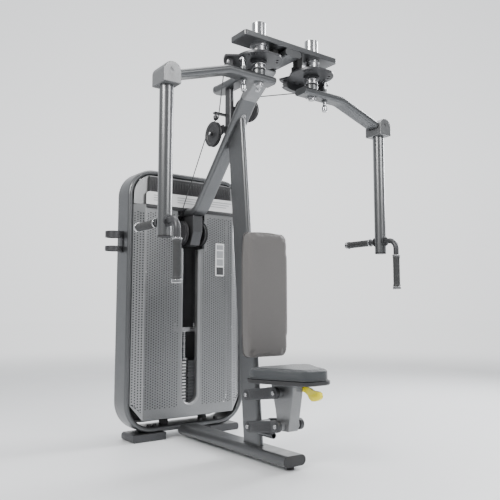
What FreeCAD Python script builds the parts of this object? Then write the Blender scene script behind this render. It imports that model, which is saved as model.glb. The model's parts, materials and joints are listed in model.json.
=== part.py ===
import FreeCAD, Part
import os, math

# Plate-loaded tower pec fly / rear delt machine.
# Millimetres. X is across the machine, the user faces -Y, the weight tower is at +Y,
# Z is up and z = 0 is the floor. Shapes are drawn about the arm pivots and moved
# back by SHIFT so that the origin is under the middle of the whole machine.

os.makedirs("parts", exist_ok=True)
V = FreeCAD.Vector
PL = FreeCAD.Placement
ROT = FreeCAD.Rotation
doc = FreeCAD.newDocument("PecDeck")
sheet = doc.addObject("Spreadsheet::Sheet", "Sizes")

CELLS = [
    ("shift_y", 53.0),
    # base and tower
    ("rail_w", 130.0), ("rail_ht", 50.0), ("rail_len", 947.5), ("wall", 3.0),
    ("tower_dep", 154.0), ("tower_tube", 30.0), ("tower_half", 384.0), ("tower_low", 57.0), ("tower_top", 1518.0),
    ("foot_r", 18.0), ("foot_ht", 12.0),
    ("shoe_len", 206.0), ("shoe_dep", 150.0), ("shoe_ht", 40.0),
    # column, brace and beam
    ("col_w", 138.0), ("col_th", 34.0), ("col_lean", 5.302), ("col_len", 1880.0),
    ("brace_w", 100.0), ("brace_th", 40.0), ("brace_rise", 48.366),
    ("knuckle_w", 90.0), ("beam_w", 100.0), ("beam_th", 36.0), ("beam_len", 626.0), ("beam_z", 1966.0),
    ("plate_w", 583.0), ("plate_dep", 124.0), ("plate_th", 27.0), ("plate_z", 1984.2),
    # arm pivots
    ("pivot_x", 168.0), ("pivot_y", -460.0), ("shaft_rad", 12.5), ("bore_rad", 12.56),
    ("housing_rad", 35.0), ("housing_ht", 48.0), ("cap_rad", 34.0), ("cap_ht", 83.0),
    ("cam_rad", 165.0), ("cam_body_rad", 112.0), ("cam_th", 10.0), ("cam_z", 1905.0), ("hub_rad", 31.0), ("hub_ht", 44.0),
    ("index_rad", 89.0), ("index_gap", 6.4), ("index_hole", 7.5),
    ("arm_w", 84.0), ("arm_th", 36.0), ("arm_z", 1815.0), ("arm_drop_x", 660.0),
    ("saddle_w", 82.0), ("saddle_len", 110.0), ("saddle_low", 1675.0), ("saddle_top", 1766.0),
    ("drop_rad", 30.0), ("drop_low", 1035.0), ("drop_ht", 639.8),
    ("grip_rad", 18.0), ("grip_core", 14.0), ("grip_len", 158.0), ("collar_rad", 21.5), ("collar_ht", 8.0),
    ("pin_rad", 6.0), ("pin_body", 9.0), ("knob_rad", 14.0),
    # weight stack
    ("stack_y", 500.0), ("stack_low", 142.0), ("plate_pitch", 18.0), ("weight_th", 17.4), ("weight_w", 330.0), ("weight_dep", 92.0),
    ("rod_x", 130.0), ("rod_rad", 12.5), ("rod_hole", 13.3), ("stem_rad", 10.0), ("stem_hole", 10.8),
    ("cable_x", 66.0), ("cable_rad", 2.75), ("pulley_rad", 70.0), ("pulley_w", 22.0), ("groove_rad", 62.9), ("wrap_rad", 66.0),
    # seat
    ("pad_w", 256.0), ("pad_low", 505.0), ("pad_top", 1105.0), ("pad_th", 44.0),
    ("seat_top", 460.0), ("seat_th", 46.0), ("seat_shell_th", 18.0),
    ("link_len", 216.23), ("link_w", 53.0), ("link_th", 20.0), ("link_x", 57.0), ("link_bore", 10.06), ("link_pin", 10.0),
    ("lever_th", 12.0),
]
for i, (name, val) in enumerate(CELLS):
    sheet.set("A%d" % (i + 1), name)
    sheet.set("B%d" % (i + 1), str(val))
    sheet.setAlias("B%d" % (i + 1), name)
doc.recompute()


def S(name):
    return float(sheet.get(name))


SH = S("shift_y")
NODES = []          # (object, label)
COUNT = [0]


def uid(prefix):
    COUNT[0] += 1
    return "%s_%03d" % (prefix, COUNT[0])


def bind(obj, prop, expr):
    if isinstance(expr, (int, float)):
        setattr(obj, prop, expr)
    else:
        obj.setExpression(prop, expr)


def sx(expr):
    """Turn a cell word or a sum of them into an expression on the sheet."""
    if isinstance(expr, (int, float)):
        return expr
    out = expr
    import re
    names = sorted([c[0] for c in CELLS], key=len, reverse=True)
    return re.sub(r"[a-z][a-z_]*", lambda m: ("Sizes." + m.group(0)) if m.group(0) in names else m.group(0), out)


def node(obj, label, moved=True):
    obj.Label = label
    if moved:
        obj.Placement = PL(V(0, SH, 0), ROT()).multiply(obj.Placement)
    NODES.append((obj, label))
    return obj


def frame3(origin, xdir, ydir):
    x = V(*xdir).normalize()
    y = V(*ydir).normalize()
    z = x.cross(y)
    return PL(V(*origin), ROT(x, y, z, "XYZ"))


# ---- closed outlines with rounded corners -------------------------------
def outline(pts):
    n = len(pts)
    seg = []
    for i in range(n):
        p0 = V(pts[i - 1][0], pts[i - 1][1], 0)
        p = V(pts[i][0], pts[i][1], 0)
        p1 = V(pts[(i + 1) % n][0], pts[(i + 1) % n][1], 0)
        r = pts[i][2] if len(pts[i]) > 2 else 0
        if r > 0:
            a = (p0 - p).normalize()
            b = (p1 - p).normalize()
            ang = a.getAngle(b)
            d = r / math.tan(ang / 2)
            bis = (a + b).normalize()
            seg.append((p + a * d, p + bis * (r / math.sin(ang / 2) - r), p + b * d))
        else:
            seg.append((p, None, p))
    edges = []
    for i in range(n):
        t0, mid, t1 = seg[i]
        if mid is not None:
            edges.append(Part.Arc(t0, mid, t1))
        nx = seg[(i + 1) % n][0]
        if (nx - t1).Length > 1e-5:
            edges.append(Part.LineSegment(t1, nx))
    return edges


def origin_plane(body, role):
    for f in body.Origin.OriginFeatures:
        if f.Role == role:
            return f
    raise ValueError(role)


def add_slot(sk, w, th, turned=False, grow=0.0):
    """Flat-oval outline, w long and th across, tied to the sheet."""
    wv, tv = (S(w) if isinstance(w, str) else w) + 2 * grow, (S(th) if isinstance(th, str) else th) + 2 * grow
    a, r = (wv - tv) / 2.0, tv / 2.0
    g = sk.GeometryCount
    q = math.pi / 2
    if not turned:
        sk.addGeometry(Part.LineSegment(V(a, r, 0), V(-a, r, 0)))
        sk.addGeometry(Part.ArcOfCircle(Part.Circle(V(-a, 0, 0), V(0, 0, 1), r), q, 3 * q))
        sk.addGeometry(Part.LineSegment(V(-a, -r, 0), V(a, -r, 0)))
        sk.addGeometry(Part.ArcOfCircle(Part.Circle(V(a, 0, 0), V(0, 0, 1), r), -q, q))
    else:
        sk.addGeometry(Part.LineSegment(V(-r, a, 0), V(-r, -a, 0)))
        sk.addGeometry(Part.ArcOfCircle(Part.Circle(V(0, -a, 0), V(0, 0, 1), r), 2 * q, 4 * q))
        sk.addGeometry(Part.LineSegment(V(r, -a, 0), V(r, a, 0)))
        sk.addGeometry(Part.ArcOfCircle(Part.Circle(V(0, a, 0), V(0, 0, 1), r), 0, 2 * q))
    C = __import__("Sketcher").Constraint
    sk.addConstraint(C("Tangent", g, 2, g + 1, 1))
    sk.addConstraint(C("Tangent", g + 1, 2, g + 2, 1))
    sk.addConstraint(C("Tangent", g + 2, 2, g + 3, 1))
    sk.addConstraint(C("Tangent", g + 3, 2, g, 1))
    sk.addConstraint(C("Vertical" if turned else "Horizontal", g))
    sk.addConstraint(C("Equal", g + 1, g + 3))
    sk.addConstraint(C("Symmetric", g + 1, 3, g + 3, 3, -1, 1))
    k = sk.addConstraint(C("Radius", g + 1, r))
    if isinstance(th, str):
        sk.setExpression("Constraints[%d]" % k, sx("%s / 2 + %g" % (th, grow)))
    k = sk.addConstraint(C("DistanceY" if turned else "DistanceX", g + 1, 3, g + 3, 3, 2 * a))
    if isinstance(w, str) and isinstance(th, str):
        sk.setExpression("Constraints[%d]" % k, sx("%s - %s" % (w, th)))


def add_circle(sk, x, y, r, grow=0.0):
    rv = (S(r) if isinstance(r, str) else r) + grow
    g = sk.addGeometry(Part.Circle(V(x, y, 0), V(0, 0, 1), rv))
    C = __import__("Sketcher").Constraint
    if x == 0 and y == 0:
        sk.addConstraint(C("Coincident", g, 3, -1, 1))
    else:
        sk.addConstraint(C("DistanceX", -1, 1, g, 3, x))
        sk.addConstraint(C("DistanceY", -1, 1, g, 3, y))
    k = sk.addConstraint(C("Radius", g, rv))
    if isinstance(r, str):
        sk.setExpression("Constraints[%d]" % k, sx("%s + %g" % (r, grow)))


def draw(sk, loops):
    for lp in loops:
        kind = lp[0]
        if kind == "slot":
            add_slot(sk, *lp[1:])
        elif kind == "circle":
            add_circle(sk, *lp[1:])
        elif kind == "poly":
            for e in outline(lp[1]):
                sk.addGeometry(e)


def sketch(body, role="XY_Plane", loops=()):
    sk = body.newObject("Sketcher::SketchObject", uid("Sketch"))
    sk.AttachmentSupport = [(origin_plane(body, role), "")]
    sk.MapMode = "FlatFace"
    draw(sk, loops)
    return sk


def pad(loops, length, place=None, fillet=None, edges=None, chamfer=None):
    """A body: one sketch on its XY plane, padded along its own Z."""
    b = doc.addObject("PartDesign::Body", uid("Body"))
    sk = sketch(b, "XY_Plane", loops)
    p = b.newObject("PartDesign::Pad", uid("Pad"))
    p.Profile = sk
    bind(p, "Length", sx(length))
    b.Tip = p
    if fillet:
        doc.recompute()
        names = []
        for i, e in enumerate(p.Shape.Edges):
            if edges is None or edges(e):
                names.append("Edge%d" % (i + 1))
        f = b.newObject("PartDesign::Fillet", uid("Fillet"))
        f.Base = (p, names)
        rad = float(fillet)
        for _ in range(4):
            f.Radius = rad
            b.Tip = f
            doc.recompute()
            if "Invalid" not in [str(x) for x in f.State] and f.Shape.isValid() and len(f.Shape.Solids) > 0:
                break
            rad *= 0.6
        else:
            b.Tip = p
            b.removeObject(f)
            doc.removeObject(f.Name)
        if rad != float(fillet):
            print("FILLET", b.Name, "asked", fillet, "got", rad)
    if place is not None:
        b.Placement = place
    return b


def revolve(pts, place=None):
    """A body turned about its own Z from a half section of (radius, z) points."""
    b = doc.addObject("PartDesign::Body", uid("Body"))
    sk = sketch(b, "XZ_Plane", [("poly", pts)])
    r = b.newObject("PartDesign::Revolution", uid("Turn"))
    r.Profile = sk
    r.ReferenceAxis = (sk, ["V_Axis"])
    r.Angle = 360.0
    b.Tip = r
    if place is not None:
        b.Placement = place
    return b


def pipe(path, loops):
    """A bent tube: a flat path of (x, y, z, bend radius) points, and its section.
    The section's x lies in the plane of the bend, its y square to that plane."""
    P = [V(*p[:3]) for p in path]
    z = (P[1] - P[0]).normalize()
    nrm = None
    for k in range(1, len(P) - 1):
        c = (P[k] - P[k - 1]).cross(P[k + 1] - P[k])
        if c.Length > 1e-6:
            nrm = c.normalize()
            break
    y = nrm
    x = y.cross(z)
    place = PL(P[0], ROT(x, y, z, "XYZ"))
    inv = place.inverse()
    loc = [inv.multVec(q) for q in P]
    b = doc.addObject("PartDesign::Body", uid("Body"))
    sp = b.newObject("Sketcher::SketchObject", uid("Path"))
    sp.AttachmentSupport = [(origin_plane(b, "XZ_Plane"), "")]
    sp.MapMode = "FlatFace"
    pts = [(q.x, q.z, path[i][3] if len(path[i]) > 3 else 0) for i, q in enumerate(loc)]
    prev = V(pts[0][0], pts[0][1], 0)
    for i in range(1, len(pts)):
        p = V(pts[i][0], pts[i][1], 0)
        if i < len(pts) - 1 and pts[i][2] > 0:
            p0 = V(pts[i - 1][0], pts[i - 1][1], 0)
            p1 = V(pts[i + 1][0], pts[i + 1][1], 0)
            a = (p0 - p).normalize()
            c = (p1 - p).normalize()
            ang = a.getAngle(c)
            d = pts[i][2] / math.tan(ang / 2)
            bis = (a + c).normalize()
            t0, t1 = p + a * d, p + c * d
            mid = p + bis * (pts[i][2] / math.sin(ang / 2) - pts[i][2])
            sp.addGeometry(Part.LineSegment(prev, t0))
            sp.addGeometry(Part.Arc(t0, mid, t1))
            prev = t1
        else:
            sp.addGeometry(Part.LineSegment(prev, p))
            prev = p
    pr = sketch(b, "XY_Plane", loops)
    doc.recompute()
    ap = b.newObject("PartDesign::AdditivePipe", uid("Pipe"))
    ap.Profile = pr
    ap.Spine = (sp, ["Edge%d" % (i + 1) for i in range(sp.GeometryCount)])
    b.Tip = ap
    b.Placement = place
    return b


def box(x0, y0, z0, x1, y1, z1):
    o = doc.addObject("Part::Box", uid("Box"))
    o.Length, o.Width, o.Height = x1 - x0, y1 - y0, z1 - z0
    o.Placement = PL(V(x0, y0, z0), ROT())
    return o


def cyl(p, d, r, length):
    o = doc.addObject("Part::Cylinder", uid("Cyl"))
    bind(o, "Radius", sx(r))
    bind(o, "Height", sx(length))
    o.Placement = PL(V(*p), ROT(V(0, 0, 1), V(*d)))
    return o


def fuse(objs):
    o = doc.addObject("Part::MultiFuse", uid("Fuse"))
    o.Shapes = objs
    return o


def comp(objs):
    o = doc.addObject("Part::Compound", uid("Group"))
    o.Links = objs
    return o


def cut(base, tools):
    o = doc.addObject("Part::Cut", uid("Cut"))
    o.Base = base
    o.Tool = tools if not isinstance(tools, (list, tuple)) else (tools[0] if len(tools) == 1 else fuse(tools))
    return o


def common(a, b):
    o = doc.addObject("Part::Common", uid("Both"))
    o.Base, o.Tool = a, b
    return o


def mirror(src, label):
    o = doc.addObject("Part::Mirroring", uid("Mirror"))
    o.Source = src
    o.Normal = V(1, 0, 0)
    o.Base = V(0, 0, 0)
    return node(o, label, moved=False)


def feat(shape, label=None):
    o = doc.addObject("Part::Feature", uid("Feat"))
    o.Shape = shape
    return o


YZ = lambda x: frame3((x, 0, 0), (0, 1, 0), (0, 0, 1))     # local x -> Y, y -> Z, pads along +X
XZ = lambda y: frame3((0, y, 0), (1, 0, 0), (0, 0, 1))     # local x -> X, y -> Z, pads along -Y
XY = lambda z: PL(V(0, 0, z), ROT())
vertical = lambda e: abs(e.Vertexes[0].Z - e.Vertexes[-1].Z) > 1e-3 and len(e.Vertexes) == 2

# ======================= base and tower =================================
FRONT = -506.0
rail = pad([("slot", "rail_w", "rail_ht"), ("slot", "rail_w", "rail_ht", False, -S("wall"))], "rail_len",
           PL(V(0, FRONT, 18 + S("rail_ht") / 2), ROT(V(1, 0, 0), V(0, 0, 1), V(0, -1, 0), "XYZ")))
# local x -> X, local y -> Z, local z -> -Y, so the tube is started at its back end
rail.Placement = PL(V(0, FRONT + S("rail_len"), 18 + S("rail_ht") / 2), ROT(V(1, 0, 0), V(0, 0, 1), V(0, -1, 0), "XYZ"))
node(rail, "base_rail")
cap_out = pad([("slot", "rail_w", "rail_ht")], 4.0, PL(V(0, FRONT, 43), ROT(V(1, 0, 0), V(0, 0, 1), V(0, -1, 0), "XYZ")),
              fillet=1.5, edges=lambda e: e.BoundBox.ZMin > 3.9)
cap_in = pad([("slot", "rail_w", "rail_ht", False, -S("wall") - 0.2)], 14.0,
             PL(V(0, FRONT + 14, 43), ROT(V(1, 0, 0), V(0, 0, 1), V(0, -1, 0), "XYZ")))
node(fuse([cap_out, cap_in]), "rail_end_cap")

foot = revolve([(0, 0), (S("foot_r"), 0, 1.5), (S("foot_r"), S("foot_ht"), 2), (7, S("foot_ht")), (7, 18), (0, 18)], PL(V(0, -475, 0), ROT()))
node(foot, "levelling_foot")


def tower_ring(grow):
    """Flat-oval tube bent into a closed upright loop."""
    hw, lo, hi = S("tower_half"), S("tower_low"), S("tower_top")
    dep, th = S("tower_dep") + 2 * grow, S("tower_tube") + 2 * grow
    yc = 519.0
    edges = outline([(-hw, lo, 160), (hw, lo, 160), (hw, hi, 140), (-hw, hi, 140)])
    # start half way along the low run
    k = [i for i, g_ in enumerate(edges) if g_.TypeId == "Part::GeomLineSegment" and abs(g_.StartPoint.y - lo) < 1e-6 and abs(g_.EndPoint.y - lo) < 1e-6][0]
    run = edges[k]
    edges = [Part.LineSegment(V(0, lo, 0), run.EndPoint)] + edges[k + 1:] + edges[:k] + [Part.LineSegment(run.StartPoint, V(0, lo, 0))]
    m = FreeCAD.Matrix()
    place = PL(V(0, yc, 0), ROT(V(1, 0, 0), V(0, 0, 1), V(0, -1, 0), "XYZ"))
    w = Part.Wire([g_.toShape() for g_ in edges])
    w.Placement = place
    a_, r_ = (dep - th) / 2, th / 2
    prof = Part.Wire([Part.LineSegment(V(0, yc - a_, lo + r_), V(0, yc + a_, lo + r_)).toShape(),
                      Part.Arc(V(0, yc + a_, lo + r_), V(0, yc + a_ + r_, lo), V(0, yc + a_, lo - r_)).toShape(),
                      Part.LineSegment(V(0, yc + a_, lo - r_), V(0, yc - a_, lo - r_)).toShape(),
                      Part.Arc(V(0, yc - a_, lo - r_), V(0, yc - a_ - r_, lo), V(0, yc - a_, lo + r_)).toShape()])
    return w.makePipeShell([prof], True, False)


tower = feat(tower_ring(0).cut(tower_ring(-S("wall"))))
node(tower, "tower_frame")

shoe = pad([("poly", [(147, 0, 3), (353, 0, 14), (353, S("shoe_ht") + 3, 18), (147, S("shoe_ht") + 3, 6)])], "shoe_dep", XZ(580),
           fillet=2.0, edges=lambda e: e.BoundBox.ZMax - e.BoundBox.ZMin < 1e-3)
tube_z = S("tower_low") - S("tower_tube") / 2
trim = box(100, 400, tube_z - 0.0, 400, 620, 120)
shoe_r = cut(shoe, trim)
shoe_l = doc.addObject("Part::Mirroring", "ShoeLeft")
shoe_l.Source, shoe_l.Normal, shoe_l.Base = shoe_r, V(1, 0, 0), V(0, 0, 0)
node(comp([shoe_l, shoe_r]), "tower_feet")

# ======================= leaning column ==================================
lean = math.radians(S("col_lean"))
ca, sa = math.cos(lean), math.sin(lean)
col_y0 = -263 + (20 - 62) * math.tan(lean) + S("col_w") / 2 / ca
blade = pad([("slot", "col_w", "col_th"), ("slot", "col_w", "col_th", False, -S("wall"))], "col_len",
            PL(V(0, col_y0, 20), ROT(V(0, ca, -sa), V(-1, 0, 0), V(0, sa, ca), "XYZ")))
rise = math.radians(S("brace_rise"))
slope = math.tan(rise)
under = lambda y: 1557 - slope * (y - 100) - S("brace_th") / 2 / math.cos(rise) - 0.2
env = pad([("poly", [(-400, 68), (200, 68), (200, under(200)), (-400, under(-400))])], 120, YZ(-60))
column_tube = common(blade, env)
REAR_UP, REAR_LOW = (-235.0, 315.0), (-249.0, 165.0)
LINK = (-214.0, 31.0)
bosses = [cyl((-52, p[0], p[1]), (1, 0, 0), 24.0, 104.0) for p in (REAR_UP, REAR_LOW)]
bores = [cyl((-60, p[0], p[1]), (1, 0, 0), "link_pin", 120.0) for p in (REAR_UP, REAR_LOW)]
stop_b = pad([("circle", 0, 0, 15.0), ("circle", 0, 0, 12.0)], 104.0, PL(V(0, -251, 130), ROT(V(1, 0, 0), V(0, 0, 1), V(0, -1, 0), "XYZ")))
stop_plug = cyl((0, -290, 130), (0, 1, 0), 12.5, 30.0)
column = cut(fuse([column_tube, stop_b, stop_plug] + bosses), bores)
node(column, "column")
pins = [cyl((-79, p[0], p[1]), (1, 0, 0), "link_pin", 158.0) for p in (REAR_UP, REAR_LOW)]
node(comp(pins), "link_pins")

# ======================= brace, knuckle, beam ===========================
cb, sb = math.cos(rise), math.sin(rise)
by = lambda z: 100 - (z - 1557) / slope
seam = (-150.0, 1557 + slope * 250)
bend_z = 1300.0
brace = pipe([(0, seam[0], seam[1]), (0, by(bend_z), bend_z, 90), (0, 444.8, bend_z)],
             [("slot", "brace_w", "brace_th", True), ("slot", "brace_w", "brace_th", True, -S("wall"))])
node(brace, "brace")
nu = (cb * S("brace_th") / 2 * slope / slope, 0)
n2 = (sb, cb)
hb = S("brace_th") / 2
A = (seam[0] - n2[0] * hb, seam[1] - n2[1] * hb)
D = (seam[0] + n2[0] * hb, seam[1] + n2[1] * hb)
bt = S("beam_z") - S("beam_th") / 2
Cx = D[0] - (bt - D[1]) / slope
knuckle = pad([("poly", [(A[0], A[1]), (-352, bt, 6), (Cx + 2, bt), (D[0], D[1])])], "knuckle_w", YZ(-S("knuckle_w") / 2),
              fillet=9.0, edges=lambda e: e.BoundBox.ZMax - e.BoundBox.ZMin < 1e-3 and e.BoundBox.DiagonalLength > 60 and not (abs(e.BoundBox.YMin - bt) < 0.01 and abs(e.BoundBox.YMax - bt) < 0.01))
node(knuckle, "head_knuckle")
BEAM0 = -516.0
beam_end = pad([("slot", "beam_w", "beam_th"), ("slot", "beam_w", "beam_th", False, -S("wall"))], "beam_len",
               PL(V(0, BEAM0 + S("beam_len"), S("beam_z")), ROT(V(1, 0, 0), V(0, 0, 1), V(0, -1, 0), "XYZ")))
nose = feat(Part.makeCylinder(50, S("beam_th"), V(0, BEAM0 + S("beam_len"), bt)).common(Part.makeBox(120, 60, 60, V(-60, BEAM0 + S("beam_len"), bt - 5))))
nose_f = nose.Shape.makeFillet(14, [e for e in nose.Shape.Edges if e.Curve.TypeId == "Part::GeomCircle"])
nose.Shape = nose_f
front_plug = pad([("slot", "beam_w", "beam_th")], 3.0, PL(V(0, BEAM0, S("beam_z")), ROT(V(1, 0, 0), V(0, 0, 1), V(0, -1, 0), "XYZ")))
node(fuse([beam_end, nose, front_plug]), "beam")

hw, hd = S("plate_w") / 2, S("plate_dep") / 2
py, px = S("pivot_y"), S("pivot_x")
plate = pad([("poly", [(-hw, py - hd, 14), (hw, py - hd, 14), (hw, py + hd, 14), (-hw, py + hd, 14)]),
             ("circle", -px, py, "bore_rad", 4.0), ("circle", px, py, "bore_rad", 4.0)], "plate_th", XY(S("plate_z")),
            fillet=4.0, edges=lambda e: e.BoundBox.ZMax - e.BoundBox.ZMin < 1e-3 and not (e.Curve.TypeId == "Part::GeomCircle" and e.Curve.Radius > 16 and e.Curve.Radius < 17))
node(plate, "pivot_plate")
pz = S("plate_z")
hous = []
for s in (-1, 1):
    hous.append(revolve([(S("bore_rad"), -S("housing_ht")), (S("housing_rad") - 6, -S("housing_ht"), 1.5), (S("housing_rad"), -S("housing_ht") + 8, 3),
                         (S("housing_rad"), -12), (S("housing_rad") + 6, -12, 1.5), (S("housing_rad") + 6, -0.2), (S("bore_rad"), -0.2)], PL(V(s * px, py, pz), ROT())))
node(comp(hous), "bearing_housings")
caps = []
ch = S("cap_ht")
for s in (-1, 1):
    c = [(S("bore_rad") + 1.5, 0), (S("cap_rad") + 4, 0, 1), (S("cap_rad") + 4, 8, 2), (S("cap_rad"), 8), (S("cap_rad"), ch, 9), (0, ch), (0, ch - 24), (S("bore_rad") + 1.5, ch - 24)]
    caps.append(revolve(c, PL(V(s * px, py, pz + S("plate_th") + 0.2), ROT())))
node(comp(caps), "pivot_caps")

# ======================= pulleys and cables =============================
cxx = S("cable_x")
RW = S("wrap_rad")
cr = S("cable_rad")
A_L, E_L, B_L, C_L, D_L = V(-305.4, -375.1, 1886), V(-cxx, 40, 1774.5), V(-cxx, 131, 1751.8), V(-cxx, 496, 1197), V(-cxx, 496, 1165)
A_R, B_R, C_R, D_R = V(305.4, -375.1, 1886), V(cxx, 30.7, 1909.4), V(cxx, 496, 1197), V(cxx, 496, 1165)


def wrap(a, b, c, r):
    """Centre, axis and turn of the wheel that a tight line a-b-c goes round."""
    p = (a - b).normalize()
    q = (c - b).normalize()
    ang = p.getAngle(q)
    bis = (p + q).normalize()
    ax = p.cross(q).normalize()
    if ax.x < 0:
        ax = ax * -1
    return b + bis * (r / math.sin(ang / 2)), ax, b + p * (r / math.tan(ang / 2)), b + q * (r / math.tan(ang / 2))


def tube_along(pts, radii, r):
    edges = []
    prev = pts[0]
    for i in range(1, len(pts) - 1):
        a = (pts[i - 1] - pts[i]).normalize()
        c = (pts[i + 1] - pts[i]).normalize()
        ang = a.getAngle(c)
        d = radii[i] / math.tan(ang / 2)
        bis = (a + c).normalize()
        t0, t1 = pts[i] + a * d, pts[i] + c * d
        mid = pts[i] + bis * (radii[i] / math.sin(ang / 2) - radii[i])
        edges.append(Part.LineSegment(prev, t0).toShape())
        edges.append(Part.Arc(t0, mid, t1).toShape())
        prev = t1
    edges.append(Part.LineSegment(prev, pts[-1]).toShape())
    w = Part.Wire(edges)
    d = (pts[1] - pts[0]).normalize()
    prof = Part.Wire([Part.makeCircle(r, pts[0], d)])
    s = w.makePipeShell([prof], True, False)
    print("CABLE length", round(w.Length, 1), "volume ratio", round(s.Volume / (math.pi * r * r * w.Length), 4), "radii", radii)
    return s


left_run = tube_along([A_L, E_L, B_L, C_L, D_L], [0, 15.5, RW, RW, 0], cr)
right_run = tube_along([A_R, B_R, C_R, D_R], [0, RW, RW, 0], cr)
node(feat(Part.makeCompound([left_run, right_run])), "pulley_cables")


def wheel(center, axis, bore):
    R, w, g = S("pulley_rad"), S("pulley_w") / 2, S("groove_rad")
    pts = [(bore, -w), (22, -w, 1), (22, -w + 3.5, 1), (48, -w + 3.5, 1), (52, -w, 1), (R, -w, 1.5), (R, -w + 3.5, 1), (g, -3.4, 1.2), (g, 3.4, 1.2),
           (R, w - 3.5, 1), (R, w, 1.5), (52, w, 1), (48, w - 3.5, 1), (22, w - 3.5, 1), (22, w, 1), (bore, w)]
    return revolve(pts, PL(center, ROT(V(0, 0, 1), axis)))


BORE = 8.06
cL, axL, tL0, tL1 = wrap(E_L, B_L, C_L, RW)
cR, axR, tR0, tR1 = wrap(A_R, B_R, C_R, RW)
c1, ax1, _, _ = wrap(B_L, C_L, D_L, RW)
c2, ax2, _, _ = wrap(B_R, C_R, D_R, RW)
print("PULLEY upper_left", tuple(cL), tuple(axL))
print("PULLEY upper_right", tuple(cR), tuple(axR))
print("PULLEY lower", tuple(c1), tuple(ax1), tuple(c2), tuple(ax2))
node(wheel(cL, axL, BORE), "upper_pulley_left")
node(wheel(cR, axR, BORE), "upper_pulley_right")
low_z = (c1.z + c2.z) / 2
# both lower wheels turn on one axle, square across the machine
lowC = V(0, c1.y, low_z)
node(comp([wheel(V(-cxx, c1.y, low_z), V(1, 0, 0), BORE), wheel(V(cxx, c1.y, low_z), V(1, 0, 0), BORE)]), "lower_pulleys")
print("PULLEY lower axle", tuple(lowC))

# pulley post under the beam, with the two upper pulley forks and the guide roller
PY = 30.0
post = pad([("slot", 60.0, 30.0, True)], 400, PL(V(0, PY, 1560), ROT()))
over = lambda y: 1557 - slope * (y - 100) + S("brace_th") / 2 / math.cos(rise) + 0.1
post_env = pad([("poly", [(-60, over(-60)), (120, over(120)), (120, bt), (-60, bt)])], 60, YZ(-30))
post_c = common(post, post_env)
# left fork: a side plate inboard of the wheel, an axle, and an arm to the post
axle_l = cyl((cL.x - 17, cL.y, cL.z), (1, 0, 0), 8.0, 34.0 + 8)
plate_l = pad([("poly", [(cL.y + 20, cL.z - 20, 16), (cL.y + 20, cL.z + 22, 16), (PY + 5, cL.z + 40, 4), (PY - 18, cL.z + 40, 4), (PY - 18, cL.z - 6, 4), (cL.y - 26, cL.z - 24, 8)])],
              6.0, YZ(cL.x + 14))
arm_l = box(cL.x + 19, PY - 14, cL.z + 2, -10, PY + 16, cL.z + 34)
head_l = cyl((cL.x - 24, cL.y, cL.z), (1, 0, 0), 12.0, 9.0)
roller_c = E_L + ((A_L - E_L).normalize() + (B_L - E_L).normalize()).normalize() * (15.5 / math.sin((A_L - E_L).getAngle(B_L - E_L) / 2))
rax = (A_L - E_L).cross(B_L - E_L).normalize()
if rax.z < 0:
    rax = rax * -1
print("ROLLER", tuple(roller_c), tuple(rax))
rb = roller_c - rax * 9
roller = cyl(tuple(rb), tuple(rax), 12.4, 18.0)
roll_stem = cyl(tuple(roller_c - rax * 11), tuple(rax), 5.0, 45.0)
rs = roller_c + rax * 30
roll_arm = box(min(rs.x, cL.x + 14) - 6, rs.y - 10, rs.z - 5, -8, rs.y + 12, rs.z + 5)
# right fork
fx = axR
hub_r = cR - fx * 11.6
axle_r = cyl(tuple(cR - fx * 26), tuple(fx), 8.0, 43.0)
head_r = cyl(tuple(cR + fx * 15), tuple(fx), 12.0, 7.0)
tail = cR - fx * 24
plate_r = feat(Part.makeCylinder(20, 7, cR - fx * 20.5, fx))
arm_r = box(10, PY - 12, tail.z - 14, 62, PY + 12, tail.z + 14)
knee = V(54, PY, tail.z)
link_r = feat(Part.makeCylinder(9, (knee - tail).Length + 4, tail, knee - tail))
node(fuse([post_c, axle_l, plate_l, arm_l, head_l, roller, roll_stem, roll_arm, axle_r, head_r, plate_r, arm_r, link_r]), "pulley_post")

# cross bar inside the tower, carrying the brace end and the lower pulley block
bar = cut(box(-368.8, 445, 1283, 368.8, 475, 1322), [box(s * 336 - 37, 440, 1270, s * 336 + 37, 456.5, 1330) for s in (-1, 1)])
block = pad([("poly", [(385, 1102, 10), (474, 1102, 10), (474, 1283), (474, 1284), (445.2, 1284), (445.2, 1279.6), (352, 1279.6, 8), (352, 1180, 12)])], 64, YZ(-32),
            fillet=5.0, edges=lambda e: e.BoundBox.ZMax - e.BoundBox.ZMin < 1e-3 and e.BoundBox.DiagonalLength > 40 and e.BoundBox.YMax < 1283)
axle_low = cyl((-84, lowC.y, lowC.z), (1, 0, 0), 8.0, 168.0)
heads = [cyl((-88, lowC.y, lowC.z), (1, 0, 0), 13.0, 7.0), cyl((81, lowC.y, lowC.z), (1, 0, 0), 13.0, 7.0)]
spac = [cyl((-54.5, lowC.y, lowC.z), (1, 0, 0), 14.0, 109.0)]
node(fuse([bar, block, axle_low] + heads + spac), "pulley_crossbar")

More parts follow.
